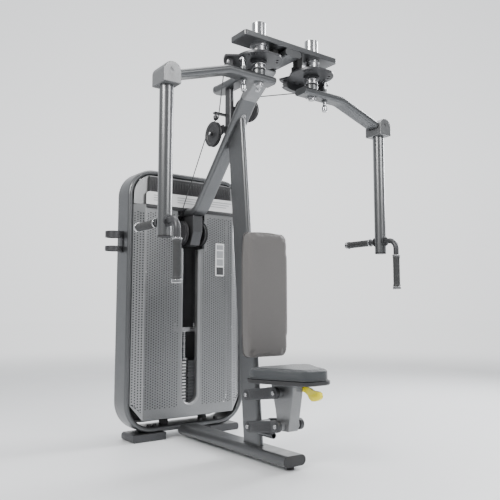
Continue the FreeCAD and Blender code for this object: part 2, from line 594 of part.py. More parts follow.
# ======================= covers and panels ==============================
sheet_pts = [(-366, 452), (-300, 426), (300, 426), (366, 452), (364.9, 454.8), (299.4, 429), (-299.4, 429), (-364.9, 454.8)]
cover = pad([("poly", sheet_pts)], 1208, XY(116))
slot_cut = pad([("poly", [(-50, 190, 49.9), (50, 190, 49.9), (50, 1088, 6), (92, 1088, 10), (92, 1322.5), (-92, 1322.5), (-92, 1088, 10), (-50, 1088, 6)])], 60, XZ(460))
low_corner = [pad([("poly", [(s * 296, 110), (s * 400, 110), (s * 400, 235)])], 60, XZ(470)) for s in (-1, 1)]
node(cut(cover, [slot_cut] + low_corner), "front_cover")
rear = pad([("poly", [(-366, 80, 140), (366, 80, 140), (366, 1500, 122), (-366, 1500, 122)])], 3.0, XZ(590))
node(rear, "rear_cover")
head_p = pad([("poly", [(418, 1404, 2), (446, 1404, 2), (446, 1492, 2), (426, 1492, 8)])], 560, YZ(-280),
             fillet=1.5, edges=lambda e: abs(e.BoundBox.ZMin - e.BoundBox.ZMax) < 1e-3 and e.BoundBox.YMin > 1404.5 and e.BoundBox.XMax < 440)
node(head_p, "header_panel")
placard = pad([("poly", [(-300, 1327, 4), (330, 1327, 4), (330, 1402, 6), (-300, 1402, 22)])], 6.0, XZ(426),
              fillet=1.0, edges=lambda e: e.BoundBox.ZMin > 5.9)
label = pad([("poly", [(172, 930, 4), (234, 930, 4), (234, 1130, 4), (172, 1130, 4)])], 3.0, XZ(425.9), fillet=0.8, edges=lambda e: e.BoundBox.ZMin > 2.9)
node(comp([placard, label]), "placards")

# ======================= weight stack ===================================
sy = S("stack_y")
rods = []
for s in (-1, 1):
    rods.append(cyl((s * S("rod_x"), sy, 72.3), (0, 0, 1), "rod_rad", 1503 - 72.3 - 0.6))
node(comp(rods), "guide_rods")
buf = []
for s in (-1, 1):
    buf.append(revolve([(S("rod_rad") + 0.1, 72.3), (26, 72.3, 2), (26, 100), (22, 104), (22, 112), (26, 116), (26, S("stack_low"), 3), (S("rod_rad") + 0.1, S("stack_low"))],
                       PL(V(s * S("rod_x"), sy, 0), ROT())))
node(comp(buf), "stack_buffers")

N, NL = 16, 5
wt, pitch, z0 = S("weight_th"), S("plate_pitch"), S("stack_low")


def weight(k):
    z = z0 + k * pitch
    ww, wd = S("weight_w") / 2, S("weight_dep") / 2
    return pad([("poly", [(-ww, sy - wd, 8), (ww, sy - wd, 8), (ww, sy + wd, 8), (-ww, sy + wd, 8)]),
                ("circle", -S("rod_x"), sy, "rod_hole"), ("circle", S("rod_x"), sy, "rod_hole"), ("circle", 0, sy, "stem_hole")], "weight_th", XY(z),
               fillet=1.2, edges=lambda e: e.BoundBox.ZMax - e.BoundBox.ZMin < 1e-3 and e.Curve.TypeId == "Part::GeomLine")


def pin_hole(k):
    z = z0 + k * pitch + wt / 2
    return cyl((0, sy - 60, z), (0, 1, 0), 5.2, 60.0)


low = [cut(weight(k), pin_hole(k)) for k in range(N - NL)]
node(comp(low), "resting_plates")
top = [cut(weight(k), pin_hole(k)) for k in range(N - NL, N)]
node(comp(top), "lifted_plates")
ztop = z0 + (N - 1) * pitch + wt
pin_z = z0 + (N - NL) * pitch + wt / 2
stem_holes = [cyl((0, sy - 20, z0 + k * pitch + wt / 2), (0, 1, 0), 5.2, 40.0) for k in range(1, N)]
stem = cyl((0, sy, z0 + 6), (0, 0, 1), "stem_rad", 620 - z0 - 6)
yoke = pad([("poly", [(-80, 596, 8), (80, 596, 8), (80, 622, 8), (-80, 622, 8)])], 26, XZ(sy + 10), fillet=2.0, edges=lambda e: e.BoundBox.ZMax - e.BoundBox.ZMin < 1e-3)
washer = cyl((0, sy, ztop), (0, 0, 1), 24.0, 14.0)
clevis = [cyl((s * cxx, 496, 622), (0, 0, 1), 7.0, 26.0) for s in (-1, 1)]
stem_bore = cyl((0, sy, z0), (0, 0, 1), "stem_rad", 10)
node(cut(fuse([stem, yoke, washer] + clevis), stem_holes), "selector_stem")
knob = cyl((0, sy - 70, pin_z), (0, 1, 0), 14.0, 22.0)
pin = cyl((0, sy - 60, pin_z), (0, 1, 0), 4.8, 69.0)
flange = cyl((0, sy - 48.5, pin_z), (0, 1, 0), 9.0, 2.0)
node(fuse([knob, pin]), "selector_pin")
tails = [cyl((s * cxx, 496, 648.3), (0, 0, 1), "cable_rad", 1164.7 - 648.3) for s in (-1, 1)]
node(comp(tails), "stack_cables")

# ======================= back pad and seat ==============================
pl, ph, pw = S("pad_low"), S("pad_top"), S("pad_w") / 2
cushion = pad([("poly", [(-pw + 10, pl, 24), (pw - 10, pl, 24), (pw, (pl + ph) / 2, 1500), (pw - 10, ph - 4, 26), (0, ph + 4, 900), (-pw + 10, ph - 4, 26), (-pw, (pl + ph) / 2, 1500)])],
              "pad_th", XZ(-266), fillet=8.0, edges=lambda e: e.BoundBox.ZMin > 40)
node(cushion, "back_pad")
board = pad([("poly", [(-pw + 8, pl - 1, 24), (pw - 8, pl - 1, 24), (pw - 8, ph, 26), (-pw + 8, ph, 26)])], 12.0, XZ(-253.8),
            fillet=4.0, edges=lambda e: e.BoundBox.ZMin < 0.1)
face = lambda z: -263 + (z - 62) * math.tan(lean)
stand = []
for zz in (620.0, 985.0):
    stand.append(box(-14, -254.5, zz - 24, 14, face(zz) + 8, zz + 24))
col_cut = pad([("slot", "col_w", "col_th", False, 0.0)], "col_len", PL(V(0, col_y0, 20), ROT(V(0, ca, -sa), V(-1, 0, 0), V(0, sa, ca), "XYZ")))
node(cut(fuse([board] + stand), col_cut), "pad_backing")

st, sth, ssh = S("seat_top"), S("seat_th"), S("seat_shell_th")
seat_pts = lambda g: [(-212 - g, -372 + g, 46), (212 + g, -372 + g, 46), (66 + g, -682 - g, 64), (-66 - g, -682 - g, 64)]
seat = pad([("poly", seat_pts(-3))], "seat_th", XY(st - sth), fillet=14.0, edges=lambda e: e.BoundBox.ZMin > sth - 1)
node(seat, "seat_cushion")
shell = pad([("poly", seat_pts(4))], "seat_shell_th", XY(st - sth - ssh - 0.3), fillet=6.0, edges=lambda e: e.BoundBox.ZMax < 0.5)
node(shell, "seat_shell")
sbz = st - sth - ssh - 0.6
F_UP = (REAR_UP[0] + LINK[0], REAR_UP[1] + LINK[1])
F_LOW = (REAR_LOW[0] + LINK[0], REAR_LOW[1] + LINK[1])
carriage = pad([("poly", [(-372, sbz), (-560, sbz), (-560, sbz - 14, 3), (-538, sbz - 22, 4), (-500, 172, 10), (-420, 168, 10), (-404, 260, 20), (-372, sbz - 22, 6)])], 60, YZ(-30),
               fillet=5.0, edges=lambda e: e.BoundBox.ZMax - e.BoundBox.ZMin < 1e-3 and e.BoundBox.DiagonalLength > 40 and e.BoundBox.YMax < sbz - 1)
cb_ = [cyl((-56.5, p[0], p[1]), (1, 0, 0), 19.0, 113.0) for p in (F_UP, F_LOW)]
cp_ = [cyl((-79, p[0], p[1]), (1, 0, 0), "link_pin", 158.0) for p in (F_UP, F_LOW)]


def link(rear, front, s):
    d = V(0, front[0] - rear[0], front[1] - rear[1])
    u = V(d).normalize()
    mid = V(0, (rear[0] + front[0]) / 2, (rear[1] + front[1]) / 2)
    w = S("link_w")
    x0 = S("link_x") if s > 0 else -S("link_x") - S("link_th")
    pl_ = PL(V(x0, mid.y, mid.z), ROT(u, V(1, 0, 0).cross(u), V(1, 0, 0), "XYZ"))
    hl = d.Length / 2
    b = pad([("slot", 2 * hl + w, w), ("circle", hl, 0, "link_bore"), ("circle", -hl, 0, "link_bore")], "link_th", pl_,
            fillet=3.0, edges=lambda e: e.BoundBox.ZMax - e.BoundBox.ZMin < 1e-3 and e.BoundBox.DiagonalLength > 40)
    return b


node(comp([link(REAR_LOW, F_LOW, s) for s in (-1, 1)]), "lower_links")
node(comp([link(REAR_UP, F_UP, s) for s in (-1, 1)]), "upper_links")
lev = pad([("poly", [(-566, 383, 6), (-566, 361, 8), (-606, 350, 30), (-628, 322, 16), (-690, 340, 14), (-694, 372, 12), (-640, 372, 20), (-610, 382, 12)])], "lever_th", YZ(-6))
lev_body = cut(fuse([lev, cyl((-14, -572, 372), (1, 0, 0), 13.0, 28.0)]), cyl((-20, -572, 372), (1, 0, 0), 5.06, 40.0))
node(lev_body, "release_lever")
# carriage with its pivot pins, and the lever's clevis under the seat plate
ears = [box(s * 20 - 3, -584, 360, s * 20 + 3, -548, sbz) for s in (-1, 1)]
web = box(-23, -560, sbz - 6, 23, -545, sbz)
lev_pin = cyl((-26, -572, 372), (1, 0, 0), 5.0, 52.0)
node(fuse([carriage] + cb_ + cp_ + ears + [web, lev_pin]), "seat_carriage")

# ======================= arms, drawn for the left side ==================
cz = S("cam_z")


def polar(r, deg, c=(-px, py)):
    return (c[0] + r * math.cos(math.radians(deg)), c[1] + r * math.sin(math.radians(deg)))


def arc_edge(r, a0, a1, z=0):
    p0, pm, p1 = polar(r, a0), polar(r, (a0 + a1) / 2), polar(r, a1)
    return Part.Arc(V(p0[0], p0[1], z), V(pm[0], pm[1], z), V(p1[0], p1[1], z)).toShape()


def line_edge(p, q, z=0):
    return Part.LineSegment(V(p[0], p[1], z), V(q[0], q[1], z)).toShape()


# cam plate: a wide sector for the cable, a smaller round body, and a flat front
R1, R0 = S("cam_rad") + 3, S("cam_body_rad")
cr_, dy_ = R0, -104.0
af = math.degrees(math.asin(dy_ / R0))          # the flat front meets the round body
e = [arc_edge(R1, 52, 165), line_edge(polar(R1, 165), polar(R0, 176)), arc_edge(R0, 176, 180 - af),
     line_edge(polar(R0, 180 - af), polar(R0, 360 + af)), arc_edge(R0, 360 + af, 360 + 41), line_edge(polar(R0, 41), polar(R1, 52))]
disc = Part.Face(Part.Wire(e)).extrude(V(0, 0, S("cam_th")))
disc.translate(V(0, 0, cz))
for rad in (1.5, 1.0, 0.6):
    try:
        soft = disc.makeFillet(rad, [q for q in disc.Edges if q.BoundBox.ZMax - q.BoundBox.ZMin < 1e-3])
        if soft.isValid():
            disc = soft
            print("CAM EDGE", rad)
            break
    except Part.OCCError:
        continue
# grooved rim under the plate
def sector(r0, r1, a0, a1, z, hgt):
    w = Part.Wire([arc_edge(r1, a0, a1, z), line_edge(polar(r1, a1), polar(r0, a1), z), arc_edge(r0, a1, a0, z), line_edge(polar(r0, a0), polar(r1, a0), z)])
    return Part.Face(w).extrude(V(0, 0, hgt))
rim = sector(128, 150, 56, 162, cz - 36, 36).fuse(sector(128, 157, 56, 162, cz - 36, 5))
hub = Part.makeCylinder(S("hub_rad"), S("hub_ht"), V(-px, py, cz - S("hub_ht")))
ring = Part.makeCylinder(40, 12, V(-px, py, cz - 12))
cam_s = disc.fuse([rim, hub, ring]).removeSplitter()
cam_s = cam_s.cut(Part.makeCylinder(S("shaft_rad"), 200, V(-px, py, cz - 100)))
g = S("index_gap")
tools = []
ww_ = Part.Wire([arc_edge(S("index_rad") + g, 148, 182, cz - 1), line_edge(polar(S("index_rad") + g, 182), polar(S("index_rad") - g, 182), cz - 1),
                 arc_edge(S("index_rad") - g, 182, 148, cz - 1), line_edge(polar(S("index_rad") - g, 148), polar(S("index_rad") + g, 148), cz - 1)])
tools.append(Part.Face(ww_).extrude(V(0, 0, 14)))
for k in range(4):
    q = polar(S("index_rad"), 180 - 10 * k)
    tools.append(Part.makeCylinder(S("index_hole"), 14, V(q[0], q[1], cz - 1)))
for a in (205, 222, 318, 335, 100, 80):
    q = polar(S("index_rad") + (22 if a < 180 else 0), a)
    tools.append(Part.makeCylinder(7, 14, V(q[0], q[1], cz - 1)))
for t in tools:
    cam_s = cam_s.cut(t)
peg = polar(96, 20)
cam_s = cam_s.fuse(Part.makeCylinder(12, 28, V(peg[0], peg[1], cz + 9))).removeSplitter()
cam_l = node(feat(cam_s), "cam_left")
shaft = revolve([(0, 1781), (17, 1781, 2), (17, 1791), (23, 1791, 1), (23, 1795.5), (S("shaft_rad"), 1795.5), (S("shaft_rad"), 2064, 1.5), (0, 2064)], PL(V(-px, py, 0), ROT()))
shaft_l = node(shaft, "pivot_shaft_left")

az, at, dx = S("arm_z"), S("arm_th"), S("arm_drop_x")
drop_k = math.tan(math.radians(18.0))
arm_tube = pipe([(-96, py, az), (-358, py, az, 130), (-618.5, py, az - (618.5 - 358) * drop_k)],
                [("slot", "arm_w", "arm_th", True), ("slot", "arm_w", "arm_th", True, -S("wall"))])
hub_void = cyl((-px, py, az - 40), (0, 0, 1), 32.9, 80.0)
arm_hub = pad([("circle", 0, 0, 33.0), ("circle", 0, 0, "bore_rad")], 60.0, PL(V(-px, py, 1796), ROT()), fillet=1.5,
              edges=lambda e: e.Curve.TypeId == "Part::GeomCircle" and e.Curve.Radius > 20)
inner_plug = pad([("slot", "arm_w", "arm_th")], 3.0, PL(V(-96, py, az), ROT(V(0, 1, 0), V(0, 0, 1), V(1, 0, 0), "XYZ")), fillet=1.2, edges=lambda e: e.BoundBox.ZMin > 2.9)
pin_boss = cyl((-px - S("index_rad"), py, az - at / 2 - 6), (0, 0, 1), 15.0, at + 30.0)
pin_bore = cyl((-px - S("index_rad"), py, 1700), (0, 0, 1), "pin_body + 0.06", 300.0)
arm = cut(fuse([cut(arm_tube, hub_void), arm_hub, inner_plug, pin_boss]), pin_bore)
arm_l = node(arm, "arm_left")

sw, sl = S("saddle_w") / 2, S("saddle_len") / 2
saddle = pad([("poly", [(-dx - sw, S("saddle_low"), 3), (-dx + sw, S("saddle_low"), 3), (-dx + sw, S("saddle_top"), sw - 0.1), (-dx - sw, S("saddle_top"), sw - 0.1)])],
             "saddle_len", XZ(py + sl), fillet=3.0, edges=lambda e: e.BoundBox.ZMax - e.BoundBox.ZMin < 1e-3)
arm_void = pipe([(-96, py, az), (-358, py, az, 130), (-640, py, az - (640 - 358) * drop_k)], [("slot", "arm_w", "arm_th", True)])
saddle_c = cut(saddle, arm_void)
bolt = cyl((-dx, py - sl, 1736), (0, -1, 0), 7.5, 4.5)
washer2 = cyl((-dx, py - sl + 1, 1736), (0, -1, 0), 11.0, 2.5)
saddle_l = node(fuse([saddle_c, bolt, washer2]), "saddle_left")

drop = pad([("circle", 0, 0, "drop_rad"), ("circle", 0, 0, "drop_rad", -3.0)], "drop_ht", PL(V(-dx, py, S("drop_low")), ROT()))
HZ = 1094.0
hole_bar = cyl((-dx, py - 60, HZ), (0, 1, 0), "grip_core", 120.0)
drop_l = node(cut(drop, hole_bar), "drop_tube_left")
capd = revolve([(0, -7), (S("drop_rad"), -7, 3), (S("drop_rad"), -0.2), (S("drop_rad") - 3.2, -0.2), (S("drop_rad") - 3.2, 14), (0, 14)], PL(V(-dx, py, S("drop_low")), ROT()))
cap_l = node(capd, "tube_end_cap_left")

gc = "grip_core"
goose = pipe([(-dx, -212.8, HZ), (-dx, -567, HZ, 44), (-dx, -567, 836.8)], [("circle", 0, 0, gc)])
flan = [revolve([(13.9, -3), (25, -3, 1), (25, 3, 1), (13.9, 3)], PL(V(-dx, py + s * 30.4 + s * 3, HZ), ROT(V(0, 0, 1), V(0, 1, 0)))) for s in (-1, 1)]
bar_l = node(fuse([goose, flan[0], flan[1]]), "handle_bar_left")
gl = S("grip_len")


def grip(p, d):
    R = S("grip_rad")
    r0 = S("grip_core") + 0.1
    return revolve([(r0, 0), (R, 0, 1.5), (R + 1.2, 10, 3), (R, 20, 6), (R - 0.6, gl / 2, 200), (R, gl - 20, 6), (R + 1.2, gl - 10, 3), (R, gl, 1.5), (r0, gl)],
                   PL(V(*p), ROT(V(0, 0, 1), V(*d))))


grips_l = node(comp([grip((-dx, -567, 850), (0, 0, 1)), grip((-dx, -384, HZ), (0, 1, 0))]), "hand_grips_left")


def collar(p, d, closed):
    R, ht, r0 = S("collar_rad"), S("collar_ht"), S("grip_core") + 0.05
    if closed:
        pts = [(r0, 0), (R, 0, 1.5), (R, ht + 8, 3), (0, ht + 8), (0, ht + 5.5), (r0, ht + 5.5)]
    else:
        pts = [(r0, 0), (R, 0, 1.5), (R, ht, 1.5), (r0, ht)]
    return revolve(pts, PL(V(*p), ROT(V(0, 0, 1), V(*d))))


col_l = node(comp([collar((-dx, -567, 1008.3), (0, 0, 1), False), collar((-dx, -567, 849.7), (0, 0, -1), True),
                   collar((-dx, -384.3, HZ), (0, -1, 0), False), collar((-dx, -225.7, HZ), (0, 1, 0), True)]), "grip_collars_left")
ppx = -px - S("index_rad")
ppin = revolve([(0, 1738), (10, 1738, 3), (S("knob_rad"), 1746, 3), (S("knob_rad"), 1764, 4), (S("pin_body"), 1772, 1), (S("pin_body"), 1897), (S("pin_rad"), 1900), (S("pin_rad"), 1912, 1.5), (0, 1912)],
               PL(V(ppx, py, 0), ROT()))
ppin_l = node(ppin, "pull_pin_left")

for src, name in ((cam_l, "cam_right"), (shaft_l, "pivot_shaft_right"), (arm_l, "arm_right"), (saddle_l, "saddle_right"), (drop_l, "drop_tube_right"),
                  (cap_l, "tube_end_cap_right"), (bar_l, "handle_bar_right"), (grips_l, "hand_grips_right"), (col_l, "grip_collars_right"), (ppin_l, "pull_pin_right")):
    mirror(src, name)

# stops that the cams' pegs come to rest on
stops = [box(s * 77 - 15, py - 16, 1925, s * 77 + 15, py + 20 - 0.4, pz) for s in (-1, 1)]
node(comp(stops), "cam_stops")

# ======================= bottle holder ==================================
hx = -452.0
hoop = []
for z_, h_ in ((1056.0, 26.0), (1132.0, 34.0)):
    hoop.append(pad([("circle", 0, 0, 47.0), ("circle", 0, 0, 42.5)], h_, PL(V(hx, 519, z_), ROT())))
spine = box(-405, 505, 1050, -399.4, 533, 1172)
hold = fuse([hoop[0], hoop[1], spine])
node(hold, "bottle_holder")

doc.recompute()

# ======================= checks and export ==============================
bad = []
for o in doc.Objects:
    st_ = [str(x) for x in o.State]
    if "Invalid" in st_ or "Error" in st_:
        bad.append((o.Name, o.Label, st_))
for o, label_ in NODES:
    sh_ = getattr(o, "Shape", None)
    if sh_ is None or sh_.isNull() or not sh_.isValid() or len(sh_.Solids) == 0:
        bad.append((o.Name, label_, "shape"))
if bad:
    for b_ in bad:
        print("BAD", b_)
    raise SystemExit(1)
if len(set(l for _, l in NODES)) != len(NODES):
    raise SystemExit("two nodes share a name")
bb = None
for o, label_ in NODES:
    o.Shape.exportStep("parts/%s.step" % label_)
    b_ = o.Shape.BoundBox
    bb = b_ if bb is None else bb.united(b_)
    print("NODE %-22s solids %2d  x %.1f..%.1f  y %.1f..%.1f  z %.1f..%.1f  vol %.0f" % (label_, len(o.Shape.Solids), b_.XMin, b_.XMax, b_.YMin, b_.YMax, b_.ZMin, b_.ZMax, o.Shape.Volume))
print("ALL", len(NODES), "nodes  x %.2f..%.2f  y %.2f..%.2f  z %.2f..%.2f" % (bb.XMin, bb.XMax, bb.YMin, bb.YMax, bb.ZMin, bb.ZMax))
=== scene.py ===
import bpy, bmesh, math, json, random
from mathutils import Vector, Matrix, Quaternion


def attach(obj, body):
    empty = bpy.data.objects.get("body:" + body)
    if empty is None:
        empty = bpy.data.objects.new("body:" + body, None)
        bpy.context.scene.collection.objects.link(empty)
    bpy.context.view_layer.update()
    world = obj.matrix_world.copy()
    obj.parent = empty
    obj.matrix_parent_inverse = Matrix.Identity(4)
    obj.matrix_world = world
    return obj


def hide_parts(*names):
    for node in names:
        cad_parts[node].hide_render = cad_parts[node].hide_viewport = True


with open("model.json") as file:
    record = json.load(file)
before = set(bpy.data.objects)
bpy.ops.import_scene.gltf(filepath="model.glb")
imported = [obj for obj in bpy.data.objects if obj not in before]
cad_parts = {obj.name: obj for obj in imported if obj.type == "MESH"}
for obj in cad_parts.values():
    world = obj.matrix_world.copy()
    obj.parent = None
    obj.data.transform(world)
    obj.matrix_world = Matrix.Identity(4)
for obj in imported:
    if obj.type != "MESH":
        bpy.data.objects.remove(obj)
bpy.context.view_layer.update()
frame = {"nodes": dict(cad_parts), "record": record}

SH = 0.053                      # the row frame's Y less the drawing's Y
pi = math.pi
NODES = frame["nodes"]
scene = bpy.context.scene
V = Vector


def Y(v):
    return v + SH


# ------------------------------------------------------------ camera, light
def camera():
    yaw, pitch, roll = math.radians(36.4959), math.radians(5.7605), math.radians(0.027)
    f = V((math.sin(yaw) * math.cos(pitch), math.cos(yaw) * math.cos(pitch), math.sin(pitch)))
    r0 = V((math.cos(yaw), -math.sin(yaw), 0))
    u0 = r0.cross(f)
    r = math.cos(roll) * r0 + math.sin(roll) * u0
    u = -math.sin(roll) * r0 + math.cos(roll) * u0
    cam = bpy.data.cameras.new("cam")
    cam.lens, cam.sensor_width = 610.9259 / 500 * 36, 36
    cam.shift_x, cam.shift_y = -0.00105, -0.00702
    o = bpy.data.objects.new("cam", cam)
    scene.collection.objects.link(o)
    m = Matrix((r, u, -f)).transposed().to_4x4()
    m.translation = V((-1.8671, Y(-2.6913), 0.7358))
    o.matrix_world = m
    scene.camera = o
    return o


camera()


def area(name, loc, target, size, power, col=(1, 1, 1), sy=None):
    l = bpy.data.lights.new(name, "AREA")
    l.energy, l.size, l.color = power, size, col
    if sy:
        l.shape, l.size_y = "RECTANGLE", sy
    o = bpy.data.objects.new(name, l)
    scene.collection.objects.link(o)
    o.location = loc
    o.rotation_euler = (V(target) - V(loc)).to_track_quat("-Z", "Y").to_euler()
    return o


area("key", (-3.4, -1.2, 3.4), (0, 0, 1.0), 1.4, 150, (1, 0.99, 0.97))
area("front", (0.9, -4.4, 3.0), (0, 0, 0.9), 1.6, 80)
area("rim", (3.4, 0.2, 2.8), (0, 0, 1.1), 1.0, 170, (0.97, 0.98, 1.0), 2.4)
area("top", (0.4, 0.4, 4.6), (0, 0, 0.5), 3.4, 130)

world = bpy.data.worlds.new("studio")
world.use_nodes = True
scene.world = world
wn = world.node_tree
for n in list(wn.nodes):
    wn.nodes.remove(n)
bg = wn.nodes.new("ShaderNodeBackground")
out = wn.nodes.new("ShaderNodeOutputWorld")
tc = wn.nodes.new("ShaderNodeTexCoord")


def wdot(vec):
    n = wn.nodes.new("ShaderNodeVectorMath")
    n.operation = "DOT_PRODUCT"
    wn.links.new(tc.outputs["Generated"], n.inputs[0])
    n.inputs[1].default_value = vec
    return n.outputs["Value"]


def wramp(fac, lo, hi, stops):
    m = wn.nodes.new("ShaderNodeMapRange")
    m.inputs["From Min"].default_value, m.inputs["From Max"].default_value = lo, hi
    wn.links.new(fac, m.inputs["Value"])
    r = wn.nodes.new("ShaderNodeValToRGB")
    while len(r.color_ramp.elements) < len(stops):
        r.color_ramp.elements.new(0.5)
    for e_, (q, c) in zip(r.color_ramp.elements, stops):
        e_.position, e_.color = q, (*c, 1)
    wn.links.new(m.outputs["Result"], r.inputs["Fac"])
    return r.outputs["Color"]


# a bright wall behind the machine that darkens outward, a dimmer room in front of it
back = wramp(wdot((0.5918, 0.7999, 0.1004)), -1.0, 1.0, [(0.0, (0.22, 0.225, 0.23)), (0.55, (0.29, 0.295, 0.30)), (0.86, (0.62, 0.64, 0.665)), (1.0, (1.02, 1.03, 1.04))])
up_ = wramp(wdot((0, 0, 1)), -0.2, 1.0, [(0.0, (0.9, 0.9, 0.9)), (0.35, (1.0, 1.0, 1.0)), (1.0, (0.75, 0.75, 0.76))])
mx = wn.nodes.new("ShaderNodeMix")
mx.data_type, mx.blend_type = "RGBA", "MULTIPLY"
mx.inputs[0].default_value = 1.0
wn.links.new(back, mx.inputs[6])
wn.links.new(up_, mx.inputs[7])
wn.links.new(mx.outputs[2], bg.inputs["Color"])
bg.inputs["Strength"].default_value = 1.75
wn.links.new(bg.outputs[0], out.inputs[0])

# ------------------------------------------------------------ materials
MATS = {}


class NT:
    def __init__(self, name):
        self.m = bpy.data.materials.new(name)
        self.m.use_nodes = True
        self.t = self.m.node_tree
        self.n = self.t.nodes
        self.b = self.n["Principled BSDF"]
        self.co = self.n.new("ShaderNodeTexCoord")
        MATS[name] = self.m

    def set(self, **k):
        for a, v in k.items():
            self.b.inputs[a.replace("_", " ")].default_value = v
        return self

    def link(self, a, b):
        self.t.links.new(a, b)

    def noise(self, scale, detail=3, rough=0.55, vec=None):
        n = self.n.new("ShaderNodeTexNoise")
        n.inputs["Scale"].default_value, n.inputs["Detail"].default_value, n.inputs["Roughness"].default_value = scale, detail, rough
        self.link(vec or self.co.outputs["Object"], n.inputs["Vector"])
        return n.outputs["Fac"]

    def mapping(self, scale=(1, 1, 1), rot=(0, 0, 0)):
        n = self.n.new("ShaderNodeMapping")
        n.inputs["Scale"].default_value, n.inputs["Rotation"].default_value = scale, rot
        self.link(self.co.outputs["Object"], n.inputs["Vector"])
        return n.outputs["Vector"]

    def voronoi(self, scale, feature="F1", vec=None, out="Distance"):
        n = self.n.new("ShaderNodeTexVoronoi")
        n.feature = feature
        n.inputs["Scale"].default_value = scale
        self.link(vec or self.co.outputs["Object"], n.inputs["Vector"])
        return n.outputs[out]

    def wave(self, scale, direction="Z", vec=None, dist=0.0):
        n = self.n.new("ShaderNodeTexWave")
        n.bands_direction = direction
        n.inputs["Scale"].default_value, n.inputs["Distortion"].default_value = scale, dist
        self.link(vec or self.co.outputs["Object"], n.inputs["Vector"])
        return n.outputs["Fac"]

    def ramp(self, fac, stops):
        n = self.n.new("ShaderNodeValToRGB")
        els = n.color_ramp.elements
        while len(els) < len(stops):
            els.new(0.5)
        for i, (p, c) in enumerate(stops):
            els[i].position = p
            els[i].color = (c, c, c, 1) if isinstance(c, (int, float)) else (*c, 1)
        self.link(fac, n.inputs["Fac"])
        return n.outputs["Color"]

    def range(self, fac, lo, hi, a=0.0, b=1.0):
        n = self.n.new("ShaderNodeMapRange")
        n.inputs["From Min"].default_value, n.inputs["From Max"].default_value = a, b
        n.inputs["To Min"].default_value, n.inputs["To Max"].default_value = lo, hi
        self.link(fac, n.inputs["Value"])
        return n.outputs["Result"]

    def math(self, op, a, b):
        n = self.n.new("ShaderNodeMath")
        n.operation = op
        for i, x in enumerate((a, b)):
            if isinstance(x, (int, float)):
                n.inputs[i].default_value = x
            else:
                self.link(x, n.inputs[i])
        return n.outputs[0]

    def mix(self, fac, a, b, blend="MIX"):
        n = self.n.new("ShaderNodeMix")
        n.data_type, n.blend_type = "RGBA", blend
        if isinstance(fac, (int, float)):
            n.inputs[0].default_value = fac
        else:
            self.link(fac, n.inputs[0])
        for i, x in ((6, a), (7, b)):
            if isinstance(x, tuple):
                n.inputs[i].default_value = (*x, 1)
            else:
                self.link(x, n.inputs[i])
        return n.outputs[2]

    def color(self, x):
        self.link(x, self.b.inputs["Base Color"])
        return self

    def rough(self, x):
        self.link(x, self.b.inputs["Roughness"])
        return self

    def bump(self, h, strength=0.2, dist=0.001, normal=None):
        n = self.n.new("ShaderNodeBump")
        n.inputs["Strength"].default_value, n.inputs["Distance"].default_value = strength, dist
        self.link(h, n.inputs["Height"])
        if normal is not None:
            self.link(normal, n.inputs["Normal"])
        self.link(n.outputs["Normal"], self.b.inputs["Normal"])
        return n.outputs["Normal"]


def metal_paint(name, lo, hi, metallic, r0, r1, flake=900.0, bump=0.05, coat=0.0):
    t = NT(name)
    t.set(Metallic=metallic, Coat_Weight=coat, Coat_Roughness=0.22)
    cloud = t.noise(3.0, 2)
    fl = t.voronoi(flake, out="Color")
    sepc = t.n.new("ShaderNodeSeparateColor")
    t.link(fl, sepc.inputs[0])
    base = t.mix(cloud, lo, hi)
    flk = t.mix(t.range(sepc.outputs[0], 0.0, 0.35, 0.55, 1.0), base, tuple(min(1, c * 1.5) for c in hi))
    t.color(flk)
    t.rough(t.range(t.noise(14, 4), r0, r1, 0.3, 0.7))
    t.bump(t.noise(1300, 2), bump, 0.0004)
    return t


metal_paint("graphite_paint", (0.105, 0.108, 0.112), (0.130, 0.134, 0.138), 0.72, 0.30, 0.40, coat=0.25)
metal_paint("dark_casting", (0.062, 0.063, 0.066), (0.082, 0.083, 0.087), 0.60, 0.34, 0.46, bump=0.12)
metal_paint("light_casting", (0.20, 0.203, 0.207), (0.245, 0.248, 0.252), 0.70, 0.32, 0.44, bump=0.10)
metal_paint("silver_sheet", (0.30, 0.305, 0.31), (0.36, 0.365, 0.37), 0.85, 0.30, 0.40)
# shroud_sheet: the cover's face; its sides and folds take the lighter silver_sheet as painted highlight
metal_paint("shroud_sheet", (0.235, 0.24, 0.245), (0.275, 0.28, 0.285), 0.80, 0.32, 0.42)

t = NT("brushed_tube")
t.set(Metallic=0.95)
streak = t.noise(1.0, 5, 0.7, t.mapping((900, 900, 2.0)))
t.color(t.mix(streak, (0.17, 0.173, 0.177), (0.25, 0.254, 0.258)))
t.rough(t.range(streak, 0.24, 0.36, 0.3, 0.7))
t.bump(streak, 0.05, 0.0003)

t = NT("bright_chrome")
t.set(Metallic=1.0)
t.color(t.mix(t.noise(8, 2), (0.52, 0.53, 0.54), (0.62, 0.62, 0.63)))
t.rough(t.range(t.noise(60, 4), 0.16, 0.24, 0.3, 0.7))

t = NT("bright_steel")
t.set(Metallic=1.0)
ring = t.noise(1.0, 4, 0.6, t.mapping((6, 6, 700)))
t.color(t.mix(ring, (0.42, 0.42, 0.43), (0.58, 0.58, 0.59)))
t.rough(t.range(ring, 0.20, 0.34, 0.3, 0.7))
t.bump(ring, 0.06, 0.0003)

t = NT("weight_iron")
t.set(Metallic=0.35)
t.color(t.mix(t.noise(40, 3), (0.030, 0.031, 0.033), (0.050, 0.051, 0.054)))
t.rough(t.range(t.noise(150, 4), 0.34, 0.52, 0.3, 0.7))
t.bump(t.noise(420, 3), 0.25, 0.0006)

t = NT("black_plastic")
t.color(t.mix(t.noise(20, 3), (0.020, 0.020, 0.022), (0.032, 0.032, 0.034)))
t.rough(t.range(t.noise(220, 3), 0.34, 0.50, 0.3, 0.7))
t.bump(t.voronoi(900), 0.12, 0.0004)

